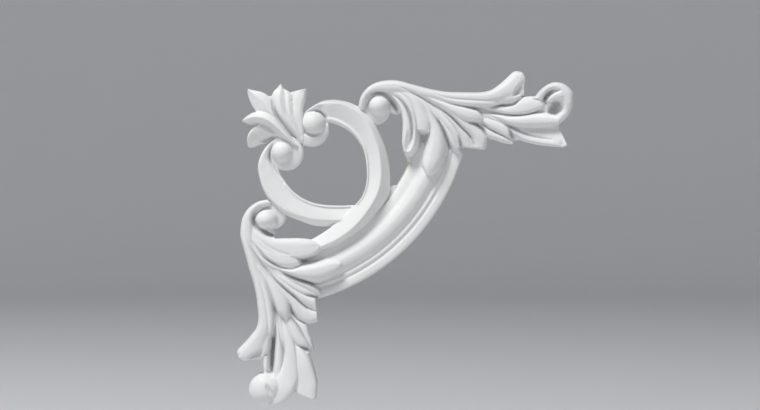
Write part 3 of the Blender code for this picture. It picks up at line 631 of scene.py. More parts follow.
@dataclass
class Palmette:
    """Five leaves that fan out from the corner, the left one standing over the rest."""

    name: str = "palmette"
    window: Window = Window(-1.5, 2, 46, 50)
    ground: Turn = Turn(21.5, 24.3, 12.2, 8.0)
    low_leaf: Leaf = Leaf((
        (4.8, 42.0, 5.6, 41.9, 7.4, -0.5), (4.4, 38.5, 9.5, 40.4, 9.0, -0.7),
        (5.4, 34, 13, 39.0, 10.2, -0.8), (8.4, 31, 16.2, 38.6, 10.6, -0.85),
        (12, 29.8, 19, 38.4, 10.8, -0.85), (18, 31.5, 21, 38.2, 10.4, -0.8),
        (24, 36, 25, 41, 9.6, -0.6)), (1.4, 5.2), Section.RIDGE)
    right_leaf: Leaf = Leaf((
        (28.7, 11.0, 38.0, 8.6, 9.8), (30.0, 14, 37.6, 13.5, 10.8), (30.6, 19, 36.6, 19, 11.3),
        (31, 24, 36.6, 23.5, 11.4), (32.5, 30, 37, 30, 10.8), (34.8, 38, 37.5, 37, 9.4)), (1.5, 1.5),
        Section.CUSHION, square=Square.START)
    top_rib: Leaf = Leaf((
        (24.8, 8.9, 25.8, 9.2, 9.0), (25.8, 12.7, 29.6, 12.4, 10.8), (25.9, 18, 30.3, 17, 11.6),
        (27.0, 23.5, 30.9, 22.8, 11.8), (29.6, 28.5, 33, 28, 11.4), (33, 35, 35.5, 34, 9.9)), (1.4, 1.4),
        Section.RIDGE)
    top_leaf: Leaf = Leaf((
        (23.2, 5.9, 23.7, 5.9, 8.6), (20.9, 10.0, 25.4, 9.6, 10.6), (18.6, 13.2, 26, 13, 11.8),
        (19.6, 18, 26.3, 18, 12.4), (22, 24, 27.7, 23.5, 12.4), (26, 29.5, 31, 28, 11.9),
        (31.5, 36, 34.5, 34.5, 10.4), (35, 41, 37, 40, 8.9)), (2.0, 1.8), Section.RIDGE, lean=0.15)
    corner_leaf: Leaf = Leaf((
        (4.5, 9.2, 5.1, 8.8, 9.0), (4.9, 12.2, 7.6, 9.8, 10.4), (6.2, 16, 12.0, 11.2, 11.6),
        (8.2, 20, 16.4, 12.9, 12.3), (10.6, 23.0, 19.4, 17, 12.5), (15.5, 25.0, 20.8, 22, 12.4),
        (21, 30, 24.5, 27.5, 11.4), (27, 36, 29.5, 33, 10.4), (33, 42, 35, 39, 8.9)), (3.2, 1.6),
        Section.RIDGE, lean=0.2)
    left_leaf: Leaf = Leaf((
        (1.2, 27.3, 1.5, 26.7, 8.4, 0.0), (5.2, 28.9, 5.4, 24.1, 12, 0.15),
        (10.5, 29.8, 9.2, 22.2, 14, 0.2), (16, 31.3, 15.2, 23.0, 14.6, 0.1),
        (21, 34, 20, 26.2, 14.5, 0.0), (27, 39.5, 26, 31.5, 13.6, -0.1),
        (32, 42.6, 31.2, 37.4, 11.6, -0.2), (34.8, 43.2, 34.4, 40.4, 9.6, -0.2)), (8.0, 3.2),
        Section.RIDGE)
    main_line: Cut = Cut((
        (18.6, 13.2, 0.8, 0.4), (19.4, 18, 1.2, 1.6), (21.3, 24, 1.6, 3.0), (25.3, 29.8, 1.9, 4.0),
        (30.0, 35.6, 2.1, 4.6), (34.0, 40.0, 1.9, 4.0), (36.2, 42.4, 1.2, 1.8)))
    low_hollow: Cut = Cut((
        (12.6, 38.4, 1.4, 1.0), (15.8, 38.2, 2.6, 3.6), (19.8, 37.6, 2.4, 3.2), (24, 38.2, 1.2, 0.8)))

    def carve(self, r: Relief) -> None:
        """Carves the palmette, lowest leaves first, into the relief r."""
        for form in (self.ground, self.low_leaf, self.right_leaf, self.top_rib, self.top_leaf,
                     self.corner_leaf, self.left_leaf, self.main_line, self.low_hollow):
            form.carve(r)


@dataclass
class LeafArm:
    """A leafy arm: a volute, seven leaves and a top roll near the middle, a blade and a curl at the far end.

    All its forms are given for the right arm. drift says how far the lower arm strays from the mirror image:
    place along the arm, shift of its outer side, shift of its inner side, and run along the arm. The outer
    side's shift passes into the inner side's from drift_start on, over drift_width.
    """

    side: Side
    drift_start: float = 8.0
    drift_width: float = 30.0
    drift: Sequence[Tuple[float, float, float, float]] = (
        (62, -3.0, -3.0, 4.5), (80, -3.2, -3.0, 4.2), (88, -3.3, -2.4, 3.4), (95, -3.5, -1.4, 2.8),
        (112, -3.8, 0.2, 1.4), (121, -2.4, 0.8, 1.0), (130, -1.0, 1.2, 1.2), (143, 0.2, 1.6, 1.8),
        (156, -0.2, 2.0, 2.0), (166, 0.3, 2.2, 1.0), (178, 1.2, 3.0, 0.2), (187, 0.8, 1.6, 0.0),
        (192, 0.0, 1.0, 0.0))
    far_ground: Leaf = Leaf((
        (126, 14, 126, 40, 8.0), (140, 13, 140, 34, 8.0), (152, 13, 152, 36, 8.5), (162, 14, 162, 36, 9),
        (173, 14, 174, 38, 9.5), (180, 16, 181, 38, 9.5)), (0.8, 0.8), Section.FLAT, square=Square.BOTH)
    curl_ground: Turn = Turn(180.6, 16.6, 9.0, 11.0)
    blade_edge: Leaf = Leaf((
        (154.8, 34.0, 157.6, 38.8, 9.6), (160, 33.2, 160.2, 37.9, 10.4), (166, 34.6, 166, 39.5, 10.8),
        (173, 36.0, 173, 41.0, 10.8), (180, 37.2, 180.4, 41.7, 10.4), (184.6, 39.4, 185.0, 41.9, 9.8)),
        (0.8, 1.8), Section.CUSHION, lean=0.2, fillet=0.8)
    blade_face: Leaf = Leaf((
        (152.5, 28.0, 151.5, 31.5, 11.0), (159, 29.6, 157.5, 35.0, 11.4), (166, 30.0, 165, 38.6, 11.6),
        (173, 30.0, 172.5, 40.6, 11.8), (179, 30.0, 180, 41.6, 12.2), (182.4, 30.6, 187.2, 41.6, 12.6)),
        (2.8, 0.8), Section.RIDGE, lean=0.8, square=Square.BOTH)
    body: Leaf = Leaf((
        (136, 21.5, 135.5, 25.0, 10.8), (146, 23, 145, 27.2, 12.4), (154, 24.4, 153, 29.6, 13.4),
        (161, 24.3, 160.2, 30.6, 14.0), (168, 23.4, 167.5, 30.8, 14.4), (175, 23.4, 175, 30.6, 14.6),
        (182, 24.4, 182.3, 30.0, 14.6)), (2.6, 2.2), Section.CUSHION, square=Square.END, fillet=0.6)
    blade_leaf: Leaf = Leaf((
        (137, 27.8, 136.5, 30.5, 10.4), (143, 31.6, 141.5, 36.4, 11.2), (148, 34.3, 146.5, 38.0, 11.2),
        (152, 36.4, 150.8, 39.5, 10.8), (156.4, 39.4, 155.8, 40.4, 9.6)), (1.8, 1.8), Section.CUSHION)
    blade_rib: Leaf = Leaf((
        (138, 24.2, 137, 27.8, 11.6), (144, 26.0, 142.5, 31.4, 12.3), (149.5, 28.2, 147.5, 34.2, 12.3),
        (153.6, 31.4, 151, 36.3, 11.8), (154.8, 35.2, 153.4, 37.3, 10.6)), (1.8, 2.2), Section.CUSHION)
    channel_rib: Leaf = Leaf((
        (130, 18.3, 130, 20.8, 11), (138, 18.6, 138, 22, 11.8), (146, 18.3, 146, 22.9, 12.4),
        (153, 17.2, 153, 23.8, 13.0), (160, 14, 160.5, 23.8, 13.4), (165, 13.2, 166, 22.6, 13.4),
        (169.4, 13.4, 170.4, 20.8, 12.8), (172.0, 14.6, 172.8, 19.0, 11.2)), (2.6, 1.8), Section.CUSHION,
        lean=0.45, fillet=0.8)
    bump_face: Leaf = Leaf((
        (151, 8, 151, 15, 11.5), (156, 5, 156, 14, 12), (162.3, 4.5, 162.5, 13, 12)), (1.2, 0.8),
        Section.FLAT, square=Square.BOTH)
    bump_lobe: Leaf = Leaf((
        (145.0, 13.0, 146.0, 18.4, 13.8), (150, 10.4, 151, 17.9, 14.2), (155, 10.0, 156, 17.4, 14.0),
        (158.6, 11.4, 159.6, 15.6, 13.2)), (1.0, 2.4), Section.CUSHION)
    curl_rim: Leaf = Leaf((
        (183, 29, 179.0, 25.5, 14), (188, 23.6, 183.8, 21.6, 16), (190.2, 17, 184.4, 17.4, 17.6),
        (189.1, 10.6, 183.6, 13.4, 18.4), (185.5, 6.8, 181.8, 11.2, 18.6), (180, 5.4, 179.6, 9.8, 18.2),
        (175.2, 6.9, 177.2, 10.6, 17), (171.8, 9.8, 174.8, 12.7, 15.2),
        (169.6, 12.7, 173.2, 15.0, 12.8)), (3.2, 2.0), Section.CUSHION)
    curl_tongue: Leaf = Leaf((
        (189.4, 14.5, 184.0, 18.0, 17.6), (188.0, 9.2, 183.2, 16.0, 18.3),
        (183.6, 8.6, 182.0, 15.6, 18.4), (180.4, 10.8, 180.4, 15.6, 17.8),
        (178.0, 12.8, 178.6, 15.8, 16.8), (176.2, 14.8, 177.0, 16.8, 15.2)), (1.4, 2.6), Section.CUSHION,
        fillet=0.8)
    curl_upper_hollow: Cut = Cut((
        (175.2, 16.4, 1.3, 1.0), (174.8, 13.7, 2.2, 3.0), (176.4, 11.5, 2.5, 4.0),
        (179.3, 10.5, 2.0, 3.0), (182.2, 10.3, 1.0, 0.8)))
    curl_lower_hollow: Cut = Cut((
        (177.2, 23.2, 2.0, 1.0), (179.4, 20.5, 3.9, 5.6), (181.2, 17.6, 3.1, 5.2),
        (182.2, 16.0, 1.6, 1.0)))
    near_ground: Leaf = Leaf((
        (97, 10, 98, 20, 5.6), (106, 10, 106, 30, 5.0), (114, 11, 114, 37, 4.6), (124, 12, 125, 40, 4.8),
        (135, 12, 137, 40, 6.0)), (0.6, 0.6), Section.FLAT, square=Square.BOTH)
    moulding_root: Leaf = Leaf((
        (118, 38.0, 126.6, 38.0, 6.0), (117.2, 41.6, 127.8, 41.6, 6.0), (116.8, 44.2, 127.2, 44.2, 6.0),
        (116.5, 46.6, 126.4, 46.6, 6.0)), (0.4, 0.6), Section.FLAT, square=Square.BOTH)
    fan_ground: Leaf = Leaf((
        (104, 12, 104, 22, 11.2), (112, 12, 112, 29, 11.2), (118, 12, 118, 34, 11.0),
        (124, 13, 124, 38, 10.4), (130, 14, 131, 39, 10.0), (136, 14, 138, 38, 9.6)), (0.8, 0.8),
        Section.FLAT, square=Square.BOTH)
    shoulder: Leaf = Leaf((
        (82, 11.0, 84, 7.0, 13.2), (88.5, 14.6, 91.5, 7.5, 14.2), (92.8, 20, 100, 9.5, 14.5),
        (95.5, 24, 107, 14, 14.4), (99, 27, 113, 18, 13.6)), (2.0, 0.6), Section.CUSHION)
    spoon_ground: Leaf = Leaf((
        (85, 10, 87, 7, 6.0), (92, 12.5, 96, 9, 6.0), (95, 20, 102, 17, 6.0), (95.5, 29, 108.5, 28, 5.4),
        (94.6, 42, 110, 42, 4.8), (95.4, 46.5, 110, 47.5, 4.8), (97.2, 50.8, 108, 54, 4.6)), (0.6, 0.6),
        Section.FLAT, square=Square.END)
    volute_web: Leaf = Leaf((
        (80, 14, 90, 9, 8.6), (84.6, 20.2, 92.8, 16.5, 8.6), (88.0, 20.8, 93.4, 19.4, 8.2)), (0.8, 0.8),
        Section.CUSHION)
    volute_turn: Turn = Turn(77.4, 20.4, 8.9, 8.4, 1.6)
    strip: Leaf = Leaf((
        (106, 11.6, 105.5, 13.6, 14.2), (114, 12.9, 113.3, 15.7, 14.9), (122, 14.0, 121.3, 17.6, 15.2),
        (130, 14.9, 129.5, 18.9, 15.2), (138, 15.1, 138, 19.4, 15.0), (144.5, 15.0, 145, 19.2, 14.5),
        (148.3, 16.8, 148, 18.6, 13.4)), (0.6, 2.4), Section.CUSHION)
    top_roll: Leaf = Leaf((
        (68.0, 18.5, 71.4, 19.2, 10.8), (69.2, 13.5, 73.2, 15, 12.8), (72.6, 8.8, 76, 12, 14.0),
        (77, 5.8, 79.5, 10.6, 14.8), (83, 4.3, 84, 10.6, 15.2), (90, 4.2, 89.5, 10.8, 15.4),
        (97, 5.9, 96, 11.4, 15.5), (104, 7.8, 103, 13.2, 15.4), (112, 9.7, 111, 14.8, 15.4),
        (120, 10.8, 119.5, 16.0, 15.4), (130, 11, 130, 16.8, 15.4), (138, 10.9, 138.5, 17.0, 15.4),
        (144, 9.5, 146, 16.0, 15.5), (148.6, 6.4, 152, 14.3, 15.2), (152.2, 3.0, 159.4, 11.4, 14.8),
        (154.8, 0.6, 162.2, 6.2, 14.2)), (3.4, 1.2), Section.CUSHION, lean=-0.1)
    first_leaf: Leaf = Leaf((
        (111, 24.0, 112.4, 23.2, 12.6), (114.4, 28.6, 116.4, 27.6, 12.8),
        (117.0, 33.5, 119.6, 32.6, 12.6), (119.4, 38.8, 122.6, 37.8, 12.2),
        (122, 43.0, 124.6, 41.8, 11.2), (125, 45.4, 125.8, 44.8, 9.8)), (1.8, 1.0), Section.CUSHION)
    second_leaf: Leaf = Leaf((
        (110.4, 20.9, 113, 19.5, 13.2), (114.4, 26.5, 118, 24.5, 13.4), (119.2, 32, 122.2, 29.9, 13.2),
        (122.4, 37.8, 125.6, 35.8, 12.2), (124.6, 42.4, 126.4, 41.4, 10.8)), (1.0, 1.8), Section.CUSHION)
    third_leaf: Leaf = Leaf((
        (108, 16.6, 109.5, 15.9, 13.6), (114, 21.8, 116.0, 20.8, 14.0), (118.6, 26.4, 121.0, 25.0, 14.0),
        (122.6, 31.5, 125.6, 29.6, 13.6), (125.8, 37.2, 130.4, 34.8, 12.8),
        (127.6, 42.0, 134.6, 42.7, 11.4)), (1.8, 1.8), Section.CUSHION, square=Square.END)
    fourth_leaf: Leaf = Leaf((
        (114, 19.6, 116, 18.6, 13.6), (120, 24, 122.5, 22.3, 14.0), (126, 30, 129, 26.8, 13.6),
        (131, 34.6, 135.0, 29.5, 13.0), (133.6, 38.6, 141.0, 35.4, 12.2),
        (134.2, 42.7, 140.8, 43.2, 10.8)), (1.8, 2.2), Section.CUSHION, square=Square.END)
    fifth_leaf: Leaf = Leaf((
        (103, 12.8, 105, 12, 14.0), (109, 16.4, 111, 14.0, 14.8), (115, 19.8, 117, 15.6, 15.2),
        (121, 23.8, 123.5, 17.8, 15.5), (127, 26.9, 129.5, 19.2, 15.5), (132, 28.0, 134.6, 21.2, 15.1),
        (136.2, 27.9, 138, 24.4, 13.8)), (3.0, 2.0), Section.CUSHION)
    drop_leaf: Leaf = Leaf((
        (97.5, 12, 100.5, 11.3, 14.2), (102.5, 16.6, 106, 15.4, 14.8), (105.8, 21.6, 109.8, 20.6, 15.0),
        (107.6, 27, 113.0, 26.4, 15.1), (108.7, 32, 115.8, 31.6, 15.2), (108.3, 37, 117.6, 37.2, 15.2),
        (107.2, 42, 118.2, 43, 15.0), (105.8, 47, 117.0, 48.8, 14.6), (104.9, 51.5, 114.4, 53.6, 14.0),
        (105.8, 55.6, 111.0, 57.2, 13.0)), (3.4, 3.8), Section.CUSHION, lean=-0.15)
    short_leaf: Leaf = Leaf((
        (88, 10.2, 91, 9.0, 14.2), (94.6, 13.6, 97.6, 12, 14.9), (98.6, 18.4, 102.4, 16.5, 15.2),
        (100.4, 24, 105.6, 22.3, 15.2), (101.2, 29, 107.9, 28.0, 15.0),
        (101.2, 32.6, 108.3, 33.2, 14.4)), (1.2, 1.2), Section.CUSHION, square=Square.END)
    spoon_rim: Leaf = Leaf((
        (82, 10.8, 83.5, 9.5, 13.2), (88.5, 12.2, 90.5, 10.4, 14.4), (93.3, 16.4, 96.0, 14.6, 15.2),
        (96.3, 21.8, 99.3, 20.6, 15.6), (98.2, 27.5, 101.0, 26.9, 15.6), (98.8, 33.5, 101.4, 33.4, 15.4),
        (98.5, 39, 101.0, 39.6, 14.9), (96.9, 43.2, 99.2, 44.6, 14.0), (95.0, 44.9, 95.4, 46.7, 12.8)),
        (1.6, 1.8))
    spoon_leaf: Leaf = Leaf((
        (76, 12.6, 78, 10.4, 11.6), (83, 13.2, 85.5, 10.8, 13.2), (88.6, 16.6, 91.8, 14.0, 14.2),
        (91.9, 21.4, 95.9, 19.8, 14.6), (93.2, 27, 98.0, 26.4, 14.8), (93.2, 33, 98.9, 32.8, 14.8),
        (92.9, 39, 98.6, 39.2, 14.4), (93.6, 43.6, 97.6, 44.4, 13.4)), (1.8, 1.6), Section.CUSHION,
        lean=-0.2)
    volute_eye: Eye = Eye(79.9, 18.2, 5.7, 15.6, 5.0, 1.2)
    volute_hollow: Cut = Cut((
        (71.8, 18.5, 0.8, 0.5), (72.8, 14.4, 1.3, 2.2), (76.5, 11.6, 1.6, 3.4), (81.2, 11.4, 1.7, 4.0),
        (85.6, 13.9, 1.9, 4.2), (88.2, 17.4, 2.1, 3.8), (89.6, 20.2, 1.9, 2.6), (90.4, 22.4, 1.2, 0.8)))
    spoon_line: Cut = Cut((
        (84.5, 11.6, 0.7, 0.4), (90.5, 14.4, 1.0, 1.4), (94.6, 18.8, 1.2, 2.2), (97.2, 24, 1.3, 2.8),
        (98.4, 29, 1.4, 3.0), (98.6, 33, 1.4, 3.0), (98.1, 37, 1.3, 2.2), (97.0, 41, 1.1, 0.8)))
    spoon_bowl: Cut = Cut((
        (96.6, 33.5, 1.6, 0.3), (96.3, 38, 2.1, 1.2), (96.0, 42.2, 1.9, 1.3), (95.8, 44.2, 1.0, 0.6)))
    lines: Sequence[Cut] = (
        Cut(((91, 8.2, 0.6, 0.2), (97, 10.4, 0.9, 0.9), (103, 13.7, 1.1, 1.6), (109, 17.2, 1.2, 1.9),
             (116, 21.6, 1.3, 2.2), (122, 26.4, 1.4, 2.4), (127.5, 32.0, 1.3, 2.2), (132, 36.2, 1.0, 0.8),
             (134, 38.0, 0.7, 0.2))),
        Cut(((109, 22.5, 0.7, 0.4), (113.4, 28.0, 1.1, 1.8), (116.6, 33.6, 1.4, 2.8), (118.8, 39, 1.5, 2.6),
             (120.6, 42.6, 1.2, 1.0))),
        Cut(((125.2, 36.0, 0.7, 0.5), (125.9, 39.5, 1.1, 2.0), (126.8, 43.0, 1.2, 2.2))),
        Cut(((112, 15.4, 0.7, 0.4), (118, 17.2, 0.9, 1.0), (126, 18.9, 1.1, 1.5), (134, 20.4, 1.3, 2.2),
             (141, 21.4, 1.4, 2.2), (148, 22.7, 1.2, 1.8), (157, 24.0, 1.0, 1.4), (165, 23.6, 0.9, 1.0),
             (171, 21.8, 0.6, 0.3))),
        Cut(((143.5, 19.4, 0.8, 0.5), (148, 18.4, 1.2, 2.2), (153, 18.4, 1.2, 2.4), (157, 17.4, 1.2, 2.2),
             (159.6, 14.6, 0.9, 1.0))),
        Cut(((161.8, 5.0, 1.2, 0.4), (160.2, 8.2, 2.4, 2.6), (158.4, 11.0, 2.2, 2.8),
             (156.6, 12.6, 1.2, 0.8))),
        Cut(((112, 12.2, 0.7, 0.2), (120, 14.6, 0.8, 0.4), (132, 15.6, 0.8, 0.45), (145, 16.2, 0.7, 0.2))),
        Cut(((143, 24.6, 0.7, 0.4), (149.5, 27.2, 1.1, 1.4), (156, 31.1, 1.3, 2.0), (163, 34.4, 1.4, 2.0),
             (170, 36.6, 1.2, 1.4), (178, 38.2, 0.9, 0.4))),
        Cut(((137, 26.6, 0.8, 0.8), (141.5, 31.0, 0.9, 1.2), (147, 34.2, 1.0, 1.4), (152, 36.3, 0.8, 0.6))),
        Cut(((153.8, 31.6, 0.8, 0.8), (155.3, 35.0, 1.5, 2.8), (157.2, 38.6, 1.7, 2.6))),
        Cut(((131, 28.4, 0.9, 1.0), (135.0, 29.3, 1.2, 2.4), (138.6, 31.6, 1.3, 2.4),
             (141.0, 35.4, 1.1, 1.6))),
        Cut(((175, 30.2, 0.8, 0.3), (179, 30.0, 1.2, 1.4), (183, 29.6, 1.4, 2.0))),
        Cut(((168.2, 15.0, 0.9, 0.8), (170, 15.3, 1.3, 1.8), (172.2, 15.2, 0.8, 0.6))))

    @property
    def name(self) -> str:
        """Name of the arm's piece."""
        return self.side.value + "_arm"

    @property
    def window(self) -> Window:
        """Where the arm lies in the square."""
        return Window(62, -2, 192, 64) if self.side is Side.RIGHT else Window(-4, 60, 66, 193)

    def own_layout(self, x: np.ndarray, d: np.ndarray) -> Tuple[np.ndarray, np.ndarray]:
        """Takes points of the ornament's square to this arm's own layout.

        Args:
            x: distances to the right.
            d: distances down.

        Returns:
            Distances along the arm from the corner, and in from its outer side.
        """
        if self.side is Side.RIGHT:
            return x, d
        along, outer, inner, run = (np.array(column) for column in zip(*self.drift))
        share = np.clip((x - self.drift_start) / self.drift_width, 0, 1)
        b = x - np.interp(d, along, outer) * (1 - share) - np.interp(d, along, inner) * share
        return d - np.interp(d, along, run), b

    def forms(self) -> List[Form]:
        """Puts the arm's forms in their order.

        Returns:
            The forms, lowest first.
        """
        far_end = (self.far_ground, self.curl_ground, self.blade_edge, self.blade_face, self.body,
                   self.blade_leaf, self.blade_rib, self.channel_rib, self.bump_face, self.bump_lobe,
                   self.curl_rim, self.curl_tongue, self.curl_upper_hollow, self.curl_lower_hollow)
        ground = (self.near_ground, self.moulding_root, self.fan_ground, self.shoulder,
                  self.spoon_ground, self.volute_web, self.volute_turn)
        leaves = (self.strip, self.top_roll, self.first_leaf, self.second_leaf, self.third_leaf,
                  self.fourth_leaf, self.fifth_leaf, self.drop_leaf, self.short_leaf,
                  self.spoon_leaf, self.spoon_rim, self.volute_eye)
        hollows = (self.volute_hollow, self.spoon_line, self.spoon_bowl, *self.lines)
        return [*far_end, *ground, *leaves, *hollows]

    def carve(self, r: Relief) -> None:
        """Carves the arm, lowest forms first.

        Args:
            r: the relief it is carved into.
        """
        along, across = self.own_layout(r.x, r.d)
        part = Relief(along, across, r.h, r.inside)
        for form in self.forms():
            form.carve(part)
        r.h, r.inside = part.h, part.inside


@dataclass
class LowerArm(LeafArm):
    """The lower arm: the same leaves, but its spoon is one broad leaf and its curl a closed knob.

    Its blade lies flush with the leaf beside it, so the eighth of the arm's lines is left out.
    """

    side: Side = Side.LOWER
    spoon_leaf: Leaf = Leaf((
        (76, 12.6, 78, 10.4, 11.6), (83, 13.2, 86.5, 10.4, 13.4), (89.2, 17.6, 94, 13.0, 14.6),
        (91.8, 23, 99.5, 18.8, 15.0), (92, 30, 102.3, 26.6, 15.2), (91.8, 37, 102.6, 34.2, 15.0),
        (92.6, 42.6, 100.8, 40.4, 14.4), (94.4, 45.8, 98.0, 45.0, 13.2)), (2.0, 0.3), Section.CUSHION)
    spoon_rim: Leaf = Leaf((
        (98.4, 30, 103, 31.6, 14.6), (98.4, 35, 103.4, 36.2, 14.4), (97.2, 40.4, 101.4, 41.6, 13.8),
        (95.6, 44.4, 97.8, 45.4, 13.0)), (1.0, 1.4), Section.CUSHION)
    short_leaf: Leaf = Leaf((
        (88, 10.2, 91, 9.0, 14.2), (94.6, 13.8, 96.4, 11.6, 14.9), (99.0, 18.6, 103.4, 16.6, 15.2),
        (101.0, 24, 108.0, 22.8, 15.2), (102.0, 29.5, 109.4, 29.0, 14.9),
        (103.0, 33.4, 108.0, 35.0, 14.0)), (0.2, 1.8), Section.CUSHION, square=Square.END)
    spoon_line: Cut = Cut((
        (90.5, 13.6, 0.9, 0.2), (95.6, 18.4, 1.2, 0.3), (99.6, 24.5, 1.4, 0.3), (101.6, 30, 1.2, 0.3)))
    spoon_bowl: Cut = Cut((
        (93.2, 11.0, 0.8, 0.4), (98.6, 14.6, 1.2, 1.8), (104.2, 18.6, 1.5, 2.8), (109.0, 25.0, 1.5, 3.0),
        (110.4, 31.2, 1.4, 2.4), (109.0, 35.4, 1.1, 0.8)))
    curl_ground: Turn = Turn(180.2, 13.6, 9.0, 18.4, 4.4)
    curl_rim: Leaf = Leaf((
        (183, 29, 179.0, 25.5, 14), (188, 23.6, 183.8, 21.6, 14.6), (190.2, 17, 184.4, 17.4, 14.6),
        (189.1, 10.6, 184.0, 13.4, 14.0), (185.5, 6.8, 182.2, 10.8, 13.6), (180, 5.4, 179.6, 9.2, 13.4),
        (175.2, 6.9, 176.8, 9.8, 13.2), (171.8, 9.8, 174.0, 11.9, 12.6)), (3.2, 0.6), Section.CUSHION)
    curl_tongue: Leaf = Leaf((
        (158, 24.5, 158, 29.6, 13.0), (166, 22.6, 166, 30.2, 14.0), (174, 19.8, 174.6, 30.0, 15.2),
        (179.6, 17.8, 181.0, 29.6, 16.2), (184.6, 17.4, 186.0, 26.0, 16.0),
        (188.0, 16.0, 189.0, 20.5, 15.0)), (1.4, 2.0), Section.CUSHION)
    curl_upper_hollow: Cut = Cut((
        (176.6, 14.4, 0.9, 0.3), (179.0, 15.2, 1.7, 1.2), (181.6, 16.6, 1.8, 1.5),
        (184.8, 18.8, 1.1, 0.4)))
    curl_lower_hollow: Cut = Cut((
        (146, 18.8, 1.2, 0.4), (153, 18.4, 2.0, 2.6), (161, 17.8, 2.3, 3.8), (168.2, 17.0, 2.0, 3.0),
        (172.6, 16.6, 1.4, 0.8)))
    channel_rib: Leaf = Leaf((
        (134, 19.5, 134, 22.4, 11.4), (142, 20.2, 142, 23.4, 12.6), (150, 20.4, 150, 24.0, 13.2),
        (158, 19.8, 158, 23.8, 13.6), (166, 19.0, 166, 23.4, 13.8), (172, 18.4, 172, 22.4, 13.6)),
        (1.8, 1.2), Section.CUSHION)
    outer_rib: Leaf = Leaf((
        (152, 14.8, 152, 17.6, 12.0), (158, 13.0, 158.6, 16.8, 12.6), (165, 12.8, 165.6, 16.4, 12.6),
        (172, 13.2, 172.4, 16.2, 12.4)), (2.4, 1.4), Section.CUSHION)
    body: Leaf = replace(LeafArm.body, fall=(2.6, 0.8))
    blade_face: Leaf = Leaf((
        (152.5, 28.0, 151.5, 31.5, 10.4), (159, 29.6, 157.5, 35.0, 12.4), (166, 30.0, 165, 38.6, 13.4),
        (173, 30.0, 172.5, 40.6, 13.2), (179, 30.0, 180, 41.6, 13.0), (182.4, 30.6, 187.2, 41.6, 12.8)),
        (0.6, 1.4), Section.CUSHION, lean=0.3, square=Square.BOTH)
    lines: Sequence[Cut] = (*LeafArm.lines[:7], *LeafArm.lines[8:])

    def forms(self) -> List[Form]:
        """The arm's forms, lowest first."""
        return [self.outer_rib, *super().forms()]


@dataclass
class NodeTree:
    """A Geometry Nodes tree built step by step, with named inputs."""

    name: str
    group: bpy.types.GeometryNodeTree = field(init=False)
    start: bpy.types.Node = field(init=False)
    sockets: Dict[str, str] = field(init=False, default_factory=dict)

    def __post_init__(self) -> None:
        """Makes the bare tree with its geometry in and out."""
        self.group = bpy.data.node_groups.new(self.name, "GeometryNodeTree")
        self.group.interface.new_socket("Geometry", in_out="INPUT", socket_type="NodeSocketGeometry")
        self.group.interface.new_socket("Geometry", in_out="OUTPUT", socket_type="NodeSocketGeometry")
        self.start = self.group.nodes.new("NodeGroupInput")

    def add_input(self, name: str, kind: str) -> bpy.types.NodeSocket:
        """Adds an input.

        Args:
            name: label of the input.
            kind: socket type without its prefix, such as Float.

        Returns:
            The input's socket inside the tree.
        """
        item = self.group.interface.new_socket(name, in_out="INPUT", socket_type="NodeSocket" + kind)
        self.sockets[name] = item.identifier
        return self.start.outputs[name]

    def add(self, kind: str, *inputs: object, **settings: object) -> bpy.types.Node:
        """Adds a node.

        Args:
            kind: type of the node.
            inputs: a value or a socket for each of the node's first inputs, None to leave one as it is.
            settings: properties of the node.

        Returns:
            The node.
        """
        node = self.group.nodes.new(kind)
        for key, value in settings.items():
            setattr(node, key, value)
        for socket, value in zip(node.inputs, inputs):
            if isinstance(value, bpy.types.NodeSocket):
                self.group.links.new(value, socket)
            elif value is not None:
                socket.default_value = value
        return node

    def math(self, operation: str, *inputs: object) -> bpy.types.NodeSocket:
        """Output of a Math node; inputs are values or sockets."""
        return self.add("ShaderNodeMath", *inputs, operation=operation).outputs[0]

    def close(self, geometry: bpy.types.NodeSocket, material: bpy.types.NodeSocket) -> None:
        """Ends the tree: instances made real, material set.

        Args:
            geometry: what the tree has made.
            material: its finish.
        """
        real = self.add("GeometryNodeRealizeInstances", geometry)
        dressed = self.add("GeometryNodeSetMaterial", real.outputs[0], None, material)
        end = self.group.nodes.new("NodeGroupOutput")
        self.group.links.new(dressed.outputs[0], end.inputs[0])

    def bake(self, piece: bpy.types.Object, values: Dict[str, object]) -> None:
        """Runs the tree on a piece and keeps the result as its plain mesh.

        Args:
            piece: the object.
            values: value of each input by its name.
        """
        modifier = piece.modifiers.new(self.name, "NODES")
        modifier.node_group = self.group
        for name, value in values.items():
            modifier[self.sockets[name]] = value
        graph = bpy.context.evaluated_depsgraph_get()
        mesh = bpy.data.meshes.new_from_object(piece.evaluated_get(graph), depsgraph=graph)
        piece.modifiers.clear()
        piece.data = mesh
        mesh.name = piece.name


